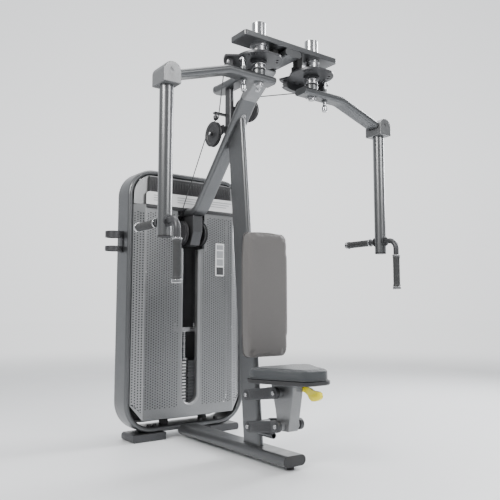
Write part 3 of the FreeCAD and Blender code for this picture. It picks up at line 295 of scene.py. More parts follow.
t = NT("black_rubber")
t.color(t.mix(t.noise(30, 3), (0.018, 0.018, 0.018), (0.028, 0.028, 0.028)))
t.rough(t.range(t.noise(180, 3), 0.62, 0.80, 0.3, 0.7))
t.bump(t.noise(600, 3), 0.3, 0.0006)

t = NT("grip_rubber")
t.set(Specular_IOR_Level=0.35)
t.color(t.mix(t.noise(45, 3), (0.046, 0.047, 0.048), (0.066, 0.067, 0.068)))
t.rough(t.range(t.noise(160, 3), 0.52, 0.68, 0.3, 0.7))
t.bump(t.voronoi(700), 0.35, 0.0006)

t = NT("black_cable")
t.set(Coat_Weight=0.3, Coat_Roughness=0.2)
t.color(t.mix(t.noise(60, 3), (0.016, 0.016, 0.017), (0.03, 0.03, 0.032)))
t.rough(t.range(t.noise(300, 2), 0.30, 0.42, 0.3, 0.7))
t.bump(t.wave(260, "DIAGONAL"), 0.12, 0.0004)

t = NT("white_panel")
t.color(t.mix(t.noise(6, 2), (0.74, 0.745, 0.75), (0.80, 0.80, 0.80)))
t.rough(t.range(t.noise(90, 3), 0.34, 0.44, 0.3, 0.7))
t.bump(t.noise(700, 2), 0.06, 0.0003)

t = NT("yellow_plastic")
t.set(Coat_Weight=0.5, Coat_Roughness=0.12)
t.color(t.mix(t.noise(18, 3), (0.90, 0.76, 0.004), (0.98, 0.85, 0.008)))
t.rough(t.range(t.noise(120, 3), 0.24, 0.36, 0.3, 0.7))
t.bump(t.noise(500, 2), 0.06, 0.0003)


def leather(name, lo, hi, r0, r1, grain=420):
    t = NT(name)
    t.set(Sheen_Weight=0.12, Sheen_Roughness=0.5, Specular_IOR_Level=0.45)
    big = t.noise(5, 3)
    cell = t.voronoi(grain, "DISTANCE_TO_EDGE")
    crease = t.range(cell, 0.0, 1.0, 0.0, 0.12)
    warp = t.noise(grain * 0.25, 4)
    base = t.mix(big, lo, hi)
    t.color(t.mix(t.range(crease, 0.35, 0.0), base, tuple(c * 0.6 for c in lo)))
    t.rough(t.range(warp, r0, r1, 0.3, 0.7))
    h = t.math("ADD", t.math("MULTIPLY", crease, 0.7), t.math("MULTIPLY", warp, 0.6))
    t.bump(h, 0.35, 0.0006)
    return t


leather("pad_leather", (0.135, 0.128, 0.124), (0.160, 0.152, 0.147), 0.46, 0.58)
leather("seat_leather", (0.040, 0.044, 0.048), (0.056, 0.061, 0.066), 0.30, 0.40)
leather("piping", (0.085, 0.080, 0.078), (0.11, 0.105, 0.10), 0.45, 0.55)

t = NT("stitch")
t.color(t.mix(t.wave(300, "DIAGONAL"), (0.05, 0.05, 0.05), (0.10, 0.10, 0.10)))
t.set(Roughness=0.7)

t = NT("label_grey")
t.color(t.mix(t.noise(50, 2), (0.30, 0.31, 0.32), (0.36, 0.37, 0.38)))
t.rough(t.range(t.noise(90, 3), 0.35, 0.45, 0.3, 0.7))

# inner_dark: painted shade on the sheet inside the rear cover, and the real dark block of the label
t = NT("inner_dark")
t.color(t.mix(t.noise(20, 3), (0.030, 0.031, 0.033), (0.050, 0.051, 0.053)))
t.rough(t.range(t.noise(120, 3), 0.45, 0.6, 0.3, 0.7))

for m in frame["record"]["materials"]:
    assert m["slot"] in MATS, m["slot"]
for sp in frame["record"]["subparts"]:
    o = NODES[sp["node"]]
    o.data.materials.clear()
    o.data.materials.append(MATS[sp["material_slot"]])

# ------------------------------------------------------------ mesh helpers
def obj_from(bm, name, mat, body, smooth=40):
    me = bpy.data.meshes.new(name)
    bmesh.ops.recalc_face_normals(bm, faces=bm.faces)
    bm.to_mesh(me)
    bm.free()
    o = bpy.data.objects.new(name, me)
    scene.collection.objects.link(o)
    me.materials.append(MATS[mat])
    shade(o, smooth)
    if body:
        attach(o, body)
    return o


def shade(o, angle=40):
    me = o.data
    for p in me.polygons:
        p.use_smooth = True
    bm = bmesh.new()
    bm.from_mesh(me)
    lim = math.radians(angle)
    for e in bm.edges:
        e.smooth = len(e.link_faces) == 2 and e.calc_face_angle(0) < lim
    bm.to_mesh(me)
    bm.free()


def axes_from(d, up=None):
    z = V(d).normalized()
    h = V(up) if up else (V((0, 0, 1)) if abs(z.z) < 0.9 else V((0, 1, 0)))
    x = h.cross(z).normalized()
    y = z.cross(x)
    return x, y, z


def add_revolve(bm, prof, origin, axis, seg=48, close=False):
    """prof: (radius, height) list; closed solid if it starts and ends on the axis."""
    x, y, z = axes_from(axis)
    o = V(origin)
    rings = []
    for r, h in prof:
        if r < 1e-7:
            rings.append([bm.verts.new(o + z * h)])
        else:
            rings.append([bm.verts.new(o + z * h + (x * math.cos(2 * pi * k / seg) + y * math.sin(2 * pi * k / seg)) * r) for k in range(seg)])
    pairs = list(zip(rings, rings[1:])) + ([(rings[-1], rings[0])] if close else [])
    for a, b in pairs:
        if len(a) == 1 and len(b) == 1:
            continue
        for k in range(seg):
            k2 = (k + 1) % seg
            if len(a) == 1:
                bm.faces.new((a[0], b[k], b[k2]))
            elif len(b) == 1:
                bm.faces.new((a[k], b[0], a[k2]))
            else:
                bm.faces.new((a[k], b[k], b[k2], a[k2]))


def add_prism(bm, pts, to3, h0, h1, bevel=0.0, seg=2):
    """pts: outline (u, v) list, to3(u, v, h) -> point; extruded from h0 to h1, edges rounded."""
    a = [bm.verts.new(to3(u, v, h0)) for u, v in pts]
    b = [bm.verts.new(to3(u, v, h1)) for u, v in pts]
    fa = bm.faces.new(a)
    fb = bm.faces.new(b[::-1])
    sides = []
    n = len(pts)
    for i in range(n):
        sides.append(bm.faces.new((a[i], b[i], b[(i + 1) % n], a[(i + 1) % n])))
    if bevel > 0:
        ed = list(set(list(fa.edges) + list(fb.edges)))
        bmesh.ops.bevel(bm, geom=ed, offset=bevel, segments=seg, profile=0.5, affect="EDGES", clamp_overlap=True)


def round_poly(pts, seg=8):
    out = []
    n = len(pts)
    for i in range(n):
        p0, p, p1 = V(pts[i - 1][:2]), V(pts[i][:2]), V(pts[(i + 1) % n][:2])
        r = pts[i][2] if len(pts[i]) > 2 else 0
        if r <= 0:
            out.append(tuple(p))
            continue
        a, b = (p0 - p).normalized(), (p1 - p).normalized()
        ang = a.angle(b)
        d = r / math.tan(ang / 2)
        c = p + (a + b).normalized() * (r / math.sin(ang / 2))
        t0, t1 = p + a * d, p + b * d
        a0 = math.atan2(t0.y - c.y, t0.x - c.x)
        a1 = math.atan2(t1.y - c.y, t1.x - c.x)
        da = (a1 - a0 + pi) % (2 * pi) - pi
        for k in range(seg + 1):
            q = a0 + da * k / seg
            out.append((c.x + r * math.cos(q), c.y + r * math.sin(q)))
    return out


def add_box(bm, lo, hi, bevel=0.002, seg=2):
    lo, hi = V(lo), V(hi)
    m = Matrix.Translation((lo + hi) / 2) @ Matrix.Diagonal((*(hi - lo), 1))
    r = bmesh.ops.create_cube(bm, size=1, matrix=m)
    if bevel:
        ed = list({e for v in r["verts"] for e in v.link_edges})
        bmesh.ops.bevel(bm, geom=ed, offset=bevel, segments=seg, profile=0.5, affect="EDGES", clamp_overlap=True)


def add_tube(bm, path, r, seg=12, caps=True):
    P = [V(p) for p in path]
    n = len(P)
    t0 = (P[1] - P[0]).normalized()
    x, y, _ = axes_from(t0)
    rings = []
    prev = t0
    for i in range(n):
        if i == 0:
            d = (P[1] - P[0]).normalized()
        elif i == n - 1:
            d = (P[-1] - P[-2]).normalized()
        else:
            d = ((P[i + 1] - P[i]).normalized() + (P[i] - P[i - 1]).normalized()).normalized()
        q = prev.rotation_difference(d)
        x, y = q @ x, q @ y
        prev = d
        rr = r(i / (n - 1)) if callable(r) else r
        rings.append([bm.verts.new(P[i] + (x * math.cos(2 * pi * k / seg) + y * math.sin(2 * pi * k / seg)) * rr) for k in range(seg)])
    for a, b in zip(rings, rings[1:]):
        for k in range(seg):
            bm.faces.new((a[k], b[k], b[(k + 1) % seg], a[(k + 1) % seg]))
    if caps:
        bm.faces.new(rings[0][::-1])
        bm.faces.new(rings[-1])


def add_hex_bolt(bm, p, d, r=0.009, h=0.006, washer=True, socket=True):
    """Socket-head screw: washer, domed head and a hex recess."""
    p, d = V(p), V(d).normalized()
    if washer:
        add_revolve(bm, [(0, -0.0005), (r * 1.45, -0.0005), (r * 1.45, 0.0012), (r * 1.3, 0.0016), (0, 0.0016)], p, d, 28)
        p = p + d * 0.0014
    add_revolve(bm, [(0, 0), (r, 0), (r, h * 0.75), (r * 0.86, h), (r * 0.5, h)], p, d, 28)
    x, y, z = axes_from(d)
    top, bot = [], []
    for k in range(6):
        c = x * math.cos(pi / 3 * k) + y * math.sin(pi / 3 * k)
        top.append(bm.verts.new(p + d * h + c * r * 0.5))
        bot.append(bm.verts.new(p + d * h * 0.35 + c * r * 0.46))
    for k in range(6):
        bm.faces.new((top[k], top[(k + 1) % 6], bot[(k + 1) % 6], bot[k]))
    bm.faces.new(bot)


def polar(c, r, deg, z):
    return V((c[0] + r * math.cos(math.radians(deg)), c[1] + r * math.sin(math.radians(deg)), z))


# ============================================================ front cover
def cover_pieces():
    """Perforated sheets either side of the slot, plain margins, set-back side strips and a dished slot edge."""
    th, yf, pz, hr, seg = 0.0016, Y(0.4262), 0.0075, 0.0041, 8
    z0, rows_low, rows_all = 0.170, 122, 149
    ZW = z0 + rows_low * pz
    ZT = z0 + rows_all * pz
    inner = {}

    def panel(name, x0, x1, cols, skip, at=None, nrm=(0, 1, 0), mat="shroud_sheet", low=None):
        at = at or (lambda u, v: V((u, yf, v)))
        back = V(nrm).normalized() * th
        bm = bmesh.new()
        px = (x1 - x0) / cols
        for c in range(cols):
            rows = rows_low if c in skip else rows_all
            xa, xb = x0 + c * px, x0 + (c + 1) * px
            k = low[c] if low else 0
            first = k
            while k < rows:
                odd = c % 2 == 1
                step = 1 if (odd and k == first) or k == rows - 1 else 2
                za, zb = z0 + k * pz, z0 + (k + step) * pz
                k += step
                if step == 1:
                    bm.faces.new([bm.verts.new(at(x, z)) for x, z in ((xa, za), (xb, za), (xb, zb), (xa, zb))])
                    continue
                cx, cz_ = (xa + xb) / 2, (za + zb) / 2
                ov = [(xb, cz_), (xb, zb), (cx, zb), (xa, zb), (xa, cz_), (xa, za), (cx, za), (xb, za)]
                ring = [bm.verts.new(at(u, w)) for u, w in ov]
                hv = [bm.verts.new(at(cx + hr * math.cos(2 * pi * q / seg), cz_ + hr * math.sin(2 * pi * q / seg))) for q in range(seg)]
                hb = [bm.verts.new(v.co + back) for v in hv]
                for q in range(seg):
                    q2 = (q + 1) % seg
                    bm.faces.new((ring[q], ring[q2], hv[q2], hv[q]))
                    bm.faces.new((hv[q], hv[q2], hb[q2], hb[q]))
        bmesh.ops.remove_doubles(bm, verts=bm.verts, dist=1e-5)
        return obj_from(bm, name, mat, "frame", 30)

    panel("cover_perforated_left", -0.292, -0.079, 14, (12, 13))
    panel("cover_perforated_right", 0.079, 0.292, 14, (0, 1))
    # the turned back sides carry the same holes; they take the lighter silver_sheet where the face takes shroud_sheet,
    # a painted highlight for the light falling on the sides
    sl = math.hypot(0.060, 0.0236)
    for s, side in ((-1, "left"), (1, "right")):
        fn = lambda u, v, s=s: V((s * (0.3045 + u * 0.060 / sl), Y(0.4279 + u * 0.0236 / sl), v))
        panel("cover_side_" + side, 0.0, sl, 4, (), at=fn, nrm=(-s * 0.0236, 0.060, 0), mat="silver_sheet", low=(-2, 1, 3, 5))
    bm = bmesh.new()

    def strip(pts):
        add_prism(bm, pts, lambda u, v, h: V((u, yf + h, v)), 0.0, th, 0)

    def rect(xa, xb, za, zb):
        strip([(xa, za), (xb, za), (xb, zb), (xa, zb)])
    for s in (-1, 1):
        xo = 0.292
        xw = 0.079 + 2 * 0.213 / 14
        rect(s * xo, s * 0.300, z0, ZT)
        rect(s * 0.0645, s * 0.079, 0.240, ZW)
        rect(s * 0.092, s * xw, ZW, ZT)
        rect(s * 0.092, s * 0.300, ZT, 1.324)
        rect(s * 0.0645, s * 0.092, ZW - 0.0001, ZW + 0.0035)
        arc = [(s * 0.0645 * math.cos(pi / 2 * k / 16), 0.240 - 0.0645 * math.sin(pi / 2 * k / 16)) for k in range(17)]
        strip([(s * 0.079, 0.240)] + arc + [(0.0, 0.170), (s * 0.079, 0.170)])
    strip([(-0.300, 0.170), (-0.300, 0.116), (0.300, 0.116), (0.300, 0.170)])
    o = obj_from(bm, "cover_margins", "shroud_sheet", "frame", 30)
    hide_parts("front_cover")
    # the fold between the face and each side, and the side's outer hem
    bm = bmesh.new()
    for s in (-1, 1):
        for prof, lo, hi in (([(0.2995, 0.4260), (0.3022, 0.4266), (0.3045, 0.4279)], (0.116, 0.118, 0.122), 1.324),
                             ([(0.3645, 0.4515), (0.3660, 0.4521), (0.3658, 0.4560)], (0.199, 0.200, 0.200), 1.324)):
            for (xa, ya), (xb, yb_), la, lb in zip(prof, prof[1:], lo, lo[1:]):
                q = [(xa, ya, la), (xb, yb_, lb), (xb, yb_, hi), (xa, ya, hi)]
                f = [bm.verts.new((s * x, Y(y), z)) for x, y, z in q]
                b = [bm.verts.new((s * (x - 0.0006), Y(y) + 0.0014, z)) for x, y, z in q]
                bm.faces.new(f)
                bm.faces.new(b[::-1])
                for k in range(4):
                    bm.faces.new((f[k], f[(k + 1) % 4], b[(k + 1) % 4], b[k]))
        # plain head of the side above its holes, and its sloping foot
        for u0, u1, za0, za1, zb0, zb1 in ((0.0, sl, ZT, ZT, 1.324, 1.324), (0.0, sl, 0.122, 0.199, 0.1555, 0.2075)):
            P = lambda u, v: V((s * (0.3045 + u * 0.060 / sl), Y(0.4279 + u * 0.0236 / sl), v))
            f = [bm.verts.new(P(u0, za0)), bm.verts.new(P(u1, za1)), bm.verts.new(P(u1, zb1)), bm.verts.new(P(u0, zb0))]
            b = [bm.verts.new(v.co + V((-s * 0.0005, 0.0014, 0))) for v in f]
            bm.faces.new(f)
            bm.faces.new(b[::-1])
            for k in range(4):
                bm.faces.new((f[k], f[(k + 1) % 4], b[(k + 1) % 4], b[k]))
    # silver_sheet here, lighter than the face: painted highlight on the sides and folds
    obj_from(bm, "cover_folds", "silver_sheet", "frame", 50)
    # dished slot edge: one section carried down one side, round the foot and up the other
    bm = bmesh.new()
    ro, zc = 0.0645, 0.240
    pts = [((-ro, ZW - k * (ZW - zc) / 30), (-1, 0)) for k in range(31)]
    for k in range(1, 32):
        a = pi + pi * k / 32
        pts.append(((ro * math.cos(a), zc + ro * math.sin(a)), (math.cos(a), math.sin(a))))
    pts += [((ro, ZW - k * (ZW - zc) / 30), (1, 0)) for k in range(30, -1, -1)]
    section = [(0.0, -0.0004), (-0.004, -0.0016), (-0.008, 0.0000), (-0.0125, 0.0060), (-0.0145, 0.0160), (-0.0145, 0.0300), (-0.0160, 0.0300), (-0.0160, 0.0150), (-0.0138, 0.0050), (-0.0085, 0.0016), (0.0, 0.0014)]
    rings = []
    for (u, v), (nx, nz) in pts:
        rings.append([bm.verts.new((u + nx * a, yf + b, v + nz * a)) for a, b in section])
    for a, b in zip(rings, rings[1:]):
        for k in range(len(section)):
            k2 = (k + 1) % len(section)
            bm.faces.new((a[k], a[k2], b[k2], b[k]))
    bm.faces.new(rings[0])
    bm.faces.new(rings[-1][::-1])
    obj_from(bm, "cover_slot_edge", "silver_sheet", "frame", 35)


cover_pieces()

# dark sheet inside the rear cover: painted shade, so the front cover's holes show dark
bm = bmesh.new()
lp = round_poly([(-0.360, 0.092, 0.128), (0.360, 0.092, 0.128), (0.360, 1.490, 0.112), (-0.360, 1.490, 0.112)], 14)
add_prism(bm, lp, lambda u, v, h: V((u, Y(0.5845) + h, v)), 0.0, 0.002, 0)
obj_from(bm, "rear_lining", "inner_dark", "frame", 30)

# cover screws
bm = bmesh.new()
for s in (-1, 1):
    for z in (0.30, 0.62, 0.94, 1.24):
        add_hex_bolt(bm, (s * 0.292, Y(0.4262), z), (0, -1, 0), 0.0042, 0.003, washer=False)
obj_from(bm, "cover_screws", "bright_steel", "frame", 35)

# ============================================================ header and placard details
bm = bmesh.new()
# thin dark strip under the placard, upright ribs on the header
add_box(bm, (-0.300, Y(0.4195), 1.306), (0.300, Y(0.4262), 1.3262), 0.001)
obj_from(bm, "placard_strip", "black_plastic", "frame", 40)
bm = bmesh.new()
n = 30
for k in range(n):
    x = -0.265 + 0.53 * k / (n - 1)
    add_prism(bm, [(Y(0.4181), 1.409), (Y(0.4161), 1.412), (Y(0.4205), 1.470), (Y(0.4225), 1.472)], lambda u, v, h: V((h, u, v)), x - 0.004, x + 0.004, 0.0006, 1)
obj_from(bm, "header_ribs", "black_plastic", "frame", 40)
# upper cover plates set back beside the header, closing the corners of the loop
bm = bmesh.new()
pts = round_poly([(-0.366, 1.327), (0.366, 1.327), (0.366, 1.500, 0.122), (-0.366, 1.500, 0.122)], 14)
add_prism(bm, pts, lambda u, v, h: V((u, Y(0.447) + h, v)), 0.0, 0.002, 0)
obj_from(bm, "corner_plate", "silver_sheet", "frame", 30)

# label plate: generic blocks, no lettering
bm = bmesh.new()
for z0, z1 in ((1.092, 1.120), (1.040, 1.084), (0.994, 1.034)):
    add_box(bm, (0.180, Y(0.4220), z0), (0.226, Y(0.4232), z1), 0.0004, 1)
obj_from(bm, "label_blocks", "label_grey", "frame", 40)
bm = bmesh.new()
add_box(bm, (0.178, Y(0.4220), 0.938), (0.228, Y(0.4232), 0.984), 0.0004, 1)
obj_from(bm, "label_block_dark", "inner_dark", "frame", 40)
bm = bmesh.new()
for k, (x0, x1) in enumerate(((-0.255, -0.135), (-0.10, 0.085), (0.13, 0.285))):
    for j in range(3):
        z = 1.382 - 0.014 * j
        add_box(bm, (x0, Y(0.4192), z - 0.002), (x1 - 0.02 * j, Y(0.4199), z + 0.002), 0, 1)
obj_from(bm, "placard_lines", "label_grey", "frame", 40)

# ============================================================ fasteners
bm = bmesh.new()
# pivot plate
for s in (-1, 1):
    for x in (0.262, 0.045):
        for dy in (-0.036, 0.036):
            add_hex_bolt(bm, (s * x, Y(-0.46 + dy), 2.0111), (0, 0, 1), 0.008, 0.006)
# brace's lower face and knuckle
cbr, sbr = math.cos(math.radians(48.366)), math.sin(math.radians(48.366))
for yy in (-0.090, -0.215):
    zc_ = 1.557 - 1.125 * (yy - 0.1)
    p = V((0, Y(yy), zc_)) - V((0, sbr, cbr)) * 0.0201
    if yy > -0.15:
        add_hex_bolt(bm, p, (0, -sbr, -cbr), 0.009, 0.007)
kd = V((0, -0.202, 0.1218)).normalized()
kn = V((0, -kd.z, kd.y))
for tt in (0.35, 0.70):
    p = V((0, Y(-0.165), 1.8247)) + V((0, -0.187, 0.1233)) * tt
    nrm = V((0, -0.1233, -0.187)).normalized()
    add_hex_bolt(bm, p + nrm * 0.0002, nrm, 0.009, 0.007)
obj_from(bm, "frame_bolts", "bright_steel", "frame", 35)
bm = bmesh.new()
# clamps on the tower's low tube
for x in (-0.235, -0.20, 0.10, 0.21):
    add_revolve(bm, [(0, 0), (0.012, 0), (0.012, 0.010), (0.010, 0.013), (0.0, 0.013)], (x, Y(0.475), 0.0722), (0, 0, 1), 24)
    add_revolve(bm, [(0.016, 0), (0.016, 0.003), (0.0, 0.003), (0.0, 0.0)], (x, Y(0.475), 0.0722), (0, 0, 1), 24)
obj_from(bm, "cover_clamps", "black_plastic", "frame", 35)

# plain tags on the front edges of the weight plates
for nm, body, ks in (("resting", "frame", range(0, 11)), ("lifted", "stack", range(11, 16))):
    bm = bmesh.new()
    for k in ks:
        z = 0.142 + 0.018 * k + 0.0087
        add_box(bm, (-0.036, Y(0.4532), z - 0.0052), (-0.012, Y(0.4542), z + 0.0052), 0.0004, 1)
    obj_from(bm, nm + "_tags", "white_panel", body, 40)

# weld bead round the foot of the column
bm = bmesh.new()
fr = -0.263 + 0.0006 - 0.0
yc = Y(-0.263 + (68 - 62) * 0.0928 / 1000 + 0.0693)
loop = []
for k in range(64):
    a = 2 * pi * k / 64
    ex = 0.052 if math.sin(a) >= 0 else -0.052
    loop.append(V((0.0172 * math.cos(a), yc + ex + 0.0172 * math.sin(a), 0.0694)))
loop.append(loop[0])
add_tube(bm, loop, lambda t: 0.0028 + 0.0004 * math.sin(t * 340), 8, caps=False)
obj_from(bm, "column_weld", "graphite_paint", "frame", 60)
bm = bmesh.new()
loop = []
for k in range(65):
    a = 2 * pi * k / 64
    ex = 0.040 if math.cos(a) >= 0 else -0.040
    loop.append(V((ex + 0.0252 * math.cos(a), Y(0.4408), 0.043 + 0.0252 * math.sin(a))))
add_tube(bm, loop, lambda t: 0.0026 + 0.0004 * math.sin(t * 300), 8, caps=False)
obj_from(bm, "rail_weld", "graphite_paint", "frame", 60)

# ============================================================ cables on the cams
for s, body in ((-1, "cam_body_left"), (1, "cam_body_right")):
    bm = bmesh.new()
    c = (-0.168, Y(-0.46))
    pts = []
    for k in range(49):
        a = 57 + (160 - 57) * k / 48
        p = polar(c, 0.1530, a, 1.886)
        pts.append(V((p.x * (1 if s < 0 else -1), p.y, p.z)))
    add_tube(bm, pts, 0.00275, 12)
    obj_from(bm, "cam_cable_" + ("left" if s < 0 else "right"), "black_cable", body, 60)
    # screws of the rim and the anchor that holds the cable's end
    bm = bmesh.new()
    for a in (64, 92, 120, 150):
        p = polar(c, 0.139, a, 1.9151)
        add_hex_bolt(bm, (p.x * (1 if s < 0 else -1), p.y, p.z), (0, 0, 1), 0.006, 0.004, washer=False)
    p = polar(c, 0.150, 160, 1.886)
    add_revolve(bm, [(0, -0.008), (0.006, -0.008), (0.007, -0.006), (0.007, 0.006), (0.006, 0.008), (0, 0.008)], (p.x * (1 if s < 0 else -1), p.y, p.z), (0, 0, 1), 24)
    obj_from(bm, "cam_screws_" + ("left" if s < 0 else "right"), "bright_steel", body, 35)

# turned sleeves over the cam hubs and housings
for s, body in ((-1, "cam_body_left"), (1, "cam_body_right")):
    bm = bmesh.new()
    c = (s * 0.168, Y(-0.46))
    add_revolve(bm, [(0.0312, 1.8625), (0.0328, 1.8625), (0.0335, 1.8635), (0.0335, 1.8675), (0.0322, 1.8685), (0.0322, 1.8840), (0.0334, 1.8850), (0.0334, 1.8900), (0.0312, 1.8905)], (c[0], c[1], 0), (0, 0, 1), 64, close=True)
    add_revolve(bm, [(0.0252, 1.9152), (0.0335, 1.9152), (0.0342, 1.9160), (0.0342, 1.9215), (0.0330, 1.9225), (0.0330, 1.9345), (0.0320, 1.9352), (0.0252, 1.9352)], (c[0], c[1], 0), (0, 0, 1), 64, close=True)
    obj_from(bm, "hub_sleeve_" + ("left" if s < 0 else "right"), "bright_steel", body, 35)

# ============================================================ grips
def grip_mesh(bm, p, d, L=0.158, R=0.018, r0=0.0143):
    prof = [(r0, 0.0), (R - 0.001, 0.0), (R + 0.0008, 0.0015), (R + 0.0012, 0.006), (R + 0.0006, 0.010)]
    n = 26
    z0, z1 = 0.013, L - 0.013
    for k in range(n):
        a = z0 + (z1 - z0) * k / n
        w = (z1 - z0) / n
        prof += [(R - 0.0011, a), (R - 0.0011, a + w * 0.28), (R, a + w * 0.42), (R, a + w * 0.86)]
    prof += [(R - 0.0011, z1), (R + 0.0006, L - 0.010), (R + 0.0012, L - 0.006), (R + 0.0008, L - 0.0015), (R - 0.001, L), (r0, L)]
    add_revolve(bm, prof, p, d, 40, close=True)


for s, side in ((-1, "left"), (1, "right")):
    bm = bmesh.new()
    grip_mesh(bm, (s * 0.66, Y(-0.567), 0.850), (0, 0, 1))
    o = obj_from(bm, "front_grip_" + side, "grip_rubber", "arm_body_" + side, 30)
    bm = bmesh.new()
    grip_mesh(bm, (s * 0.66, Y(-0.384), 1.094), (0, 1, 0))
    o2 = obj_from(bm, "rear_grip_" + side, "grip_rubber", "arm_body_" + side, 30)
    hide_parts("hand_grips_" + side)

# ============================================================ ribs on the seat links
for nm, body, rear in (("lower", "lower_arm", (-0.249, 0.165)), ("upper", "upper_arm", (-0.235, 0.315))):
    bm = bmesh.new()
    d = V((0, -0.214, 0.031)).normalized()
    up = V((0, 0.031, 0.214)).normalized()
    base = V((0, Y(rear[0]), rear[1]))
    for s in (-1, 1):
        for k in range(-3, 4):
            off = k * 0.0058
            a = base + d * 0.034 + up * off
            b = base + d * (0.2162 - 0.034) + up * off
            add_tube(bm, [a + V((s * 0.0772, 0, 0)), a + d * 0.004 + V((s * 0.0778, 0, 0)), b - d * 0.004 + V((s * 0.0778, 0, 0)), b + V((s * 0.0772, 0, 0))], 0.0016, 8)
        for t_ in (0.0, 0.2162):
            c = base + d * t_
            add_revolve(bm, [(0.0104, 0), (0.019, 0), (0.0190, 0.0016), (0.0176, 0.0022), (0.0104, 0.0022)], c + V((s * 0.0770, 0, 0)), (s, 0, 0), 32, close=True)
    obj_from(bm, nm + "_link_ribs", "dark_casting", body, 40)

# ============================================================ release lever
def smooth_closed(pts, n=12):
    out = []
    m = len(pts)
    for i in range(m):
        p0, p1, p2, p3 = (V(pts[(i + q - 1) % m]) for q in range(4))
        for k in range(n):
            t_ = k / n
            out.append(tuple(0.5 * ((2 * p1) + (p2 - p0) * t_ + (2 * p0 - 5 * p1 + 4 * p2 - p3) * t_ ** 2 + (3 * p1 - p0 - 3 * p2 + p3) * t_ ** 3)))
    return out


lv = [(-0.566, 0.380), (-0.5655, 0.364), (-0.585, 0.3585), (-0.603, 0.349), (-0.616, 0.334), (-0.634, 0.3255), (-0.662, 0.329), (-0.685, 0.339), (-0.6935, 0.356), (-0.684, 0.369), (-0.662, 0.3715), (-0.638, 0.373), (-0.618, 0.380), (-0.590, 0.3835)]
bm = bmesh.new()
add_prism(bm, smooth_closed(lv, 6), lambda u, v, h: V((h, Y(u), v)), -0.0062, 0.0062, 0.0036, 4)
o = obj_from(bm, "lever_paddle", "yellow_plastic", "lever", 50)
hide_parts("release_lever")
bm = bmesh.new()
for s in (-1, 1):
    add_revolve(bm, [(0.0054, 0), (0.0128, 0), (0.0128, 0.0062), (0.0115, 0.0074), (0.0054, 0.0074)], (s * 0.0062, Y(-0.572), 0.372), (s, 0, 0), 32, close=True)
obj_from(bm, "lever_hub", "yellow_plastic", "lever", 40)

# ends of the pivot pins: domed caps with a hex
bm = bmesh.new()
for p in ((-0.249, 0.165), (-0.235, 0.315)):
    for s in (-1, 1):
        add_hex_bolt(bm, (s * 0.0792, Y(p[0]), p[1]), (s, 0, 0), 0.0098, 0.0045, washer=False)
obj_from(bm, "rear_pin_heads", "bright_steel", "frame", 35)
bm = bmesh.new()
for p in ((-0.463, 0.196), (-0.449, 0.346)):
    for s in (-1, 1):
        add_hex_bolt(bm, (s * 0.0792, Y(p[0]), p[1]), (s, 0, 0), 0.0098, 0.0045, washer=False)
obj_from(bm, "front_pin_heads", "bright_steel", "seat", 35)

# pulley bolts
bm = bmesh.new()
add_hex_bolt(bm, (-0.0882, Y(0.430), 1.1773), (-1, 0, 0), 0.0085, 0.005, washer=False)
add_hex_bolt(bm, (0.0882, Y(0.430), 1.1773), (1, 0, 0), 0.0085, 0.005, washer=False)
add_hex_bolt(bm, (-0.0902, Y(0.090), 1.694), (-1, 0, 0), 0.0085, 0.005, washer=False)
obj_from(bm, "pulley_bolts", "bright_steel", "frame", 35)

# ============================================================ cushions
def cushion_sim(name, outline, to3, h0, h1, mat, body, node, cap=0.006, voxel=0.005, press=3.0, pin=None, edge=0.010):
    bm = bmesh.new()
    add_prism(bm, outline, to3, h0, h1, edge, 3)
    bmesh.ops.recalc_face_normals(bm, faces=bm.faces)
    me = bpy.data.meshes.new(name)
    bm.to_mesh(me)
    bm.free()
    o = bpy.data.objects.new(name, me)
    scene.collection.objects.link(o)
    bpy.context.view_layer.objects.active = o
    for q in bpy.context.selected_objects:
        q.select_set(False)
    o.select_set(True)
    rm = o.modifiers.new("r", "REMESH")
    rm.mode, rm.voxel_size = "VOXEL", voxel
    bpy.ops.object.modifier_apply(modifier="r")
    start = [v.co.copy() for v in o.data.vertices]
    normals = [v.normal.copy() for v in o.data.vertices]
    if pin is not None:
        g = o.vertex_groups.new(name="pin")
        for v in o.data.vertices:
            w = pin(v.co)
            if w > 0:
                g.add([v.index], w, "REPLACE")
    cl = o.modifiers.new("c", "CLOTH")
    st = cl.settings
    st.quality, st.mass = 5, 0.25
    st.tension_stiffness = st.compression_stiffness = 25
    st.bending_stiffness = 6
    st.use_pressure, st.uniform_pressure_force = True, press
    st.effector_weights.gravity = 0
    if pin is not None:
        st.vertex_group_mass = "pin"
    cl.point_cache.frame_start, cl.point_cache.frame_end = 1, 20
    for f in range(1, 21):
        scene.frame_set(f)
    bpy.ops.object.modifier_apply(modifier="c")
    scene.frame_set(1)
    for v, s0, n0 in zip(o.data.vertices, start, normals):
        d = v.co - s0
        out_ = d.dot(n0)
        d = n0 * (out_ if out_ > 0 else out_ * 0.15) + (d - n0 * out_) * 0.3
        if d.length > cap:
            d = d * (cap / d.length)
        v.co = s0 + d
    o.vertex_groups.clear()
    sm = o.modifiers.new("s", "SMOOTH")
    sm.factor, sm.iterations = 0.5, 4
    bpy.ops.object.modifier_apply(modifier="s")
    sd = o.modifiers.new("d", "SUBSURF")
    sd.levels = sd.render_levels = 1
    bpy.ops.object.modifier_apply(modifier="d")
    o.data.materials.clear()
    o.data.materials.append(MATS[mat])
    shade(o, 80)
    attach(o, body)
    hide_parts(node)
    return o


def curve_z(o, fn):
    for v in o.data.vertices:
        v.co = fn(v.co.copy())
    o.data.update()


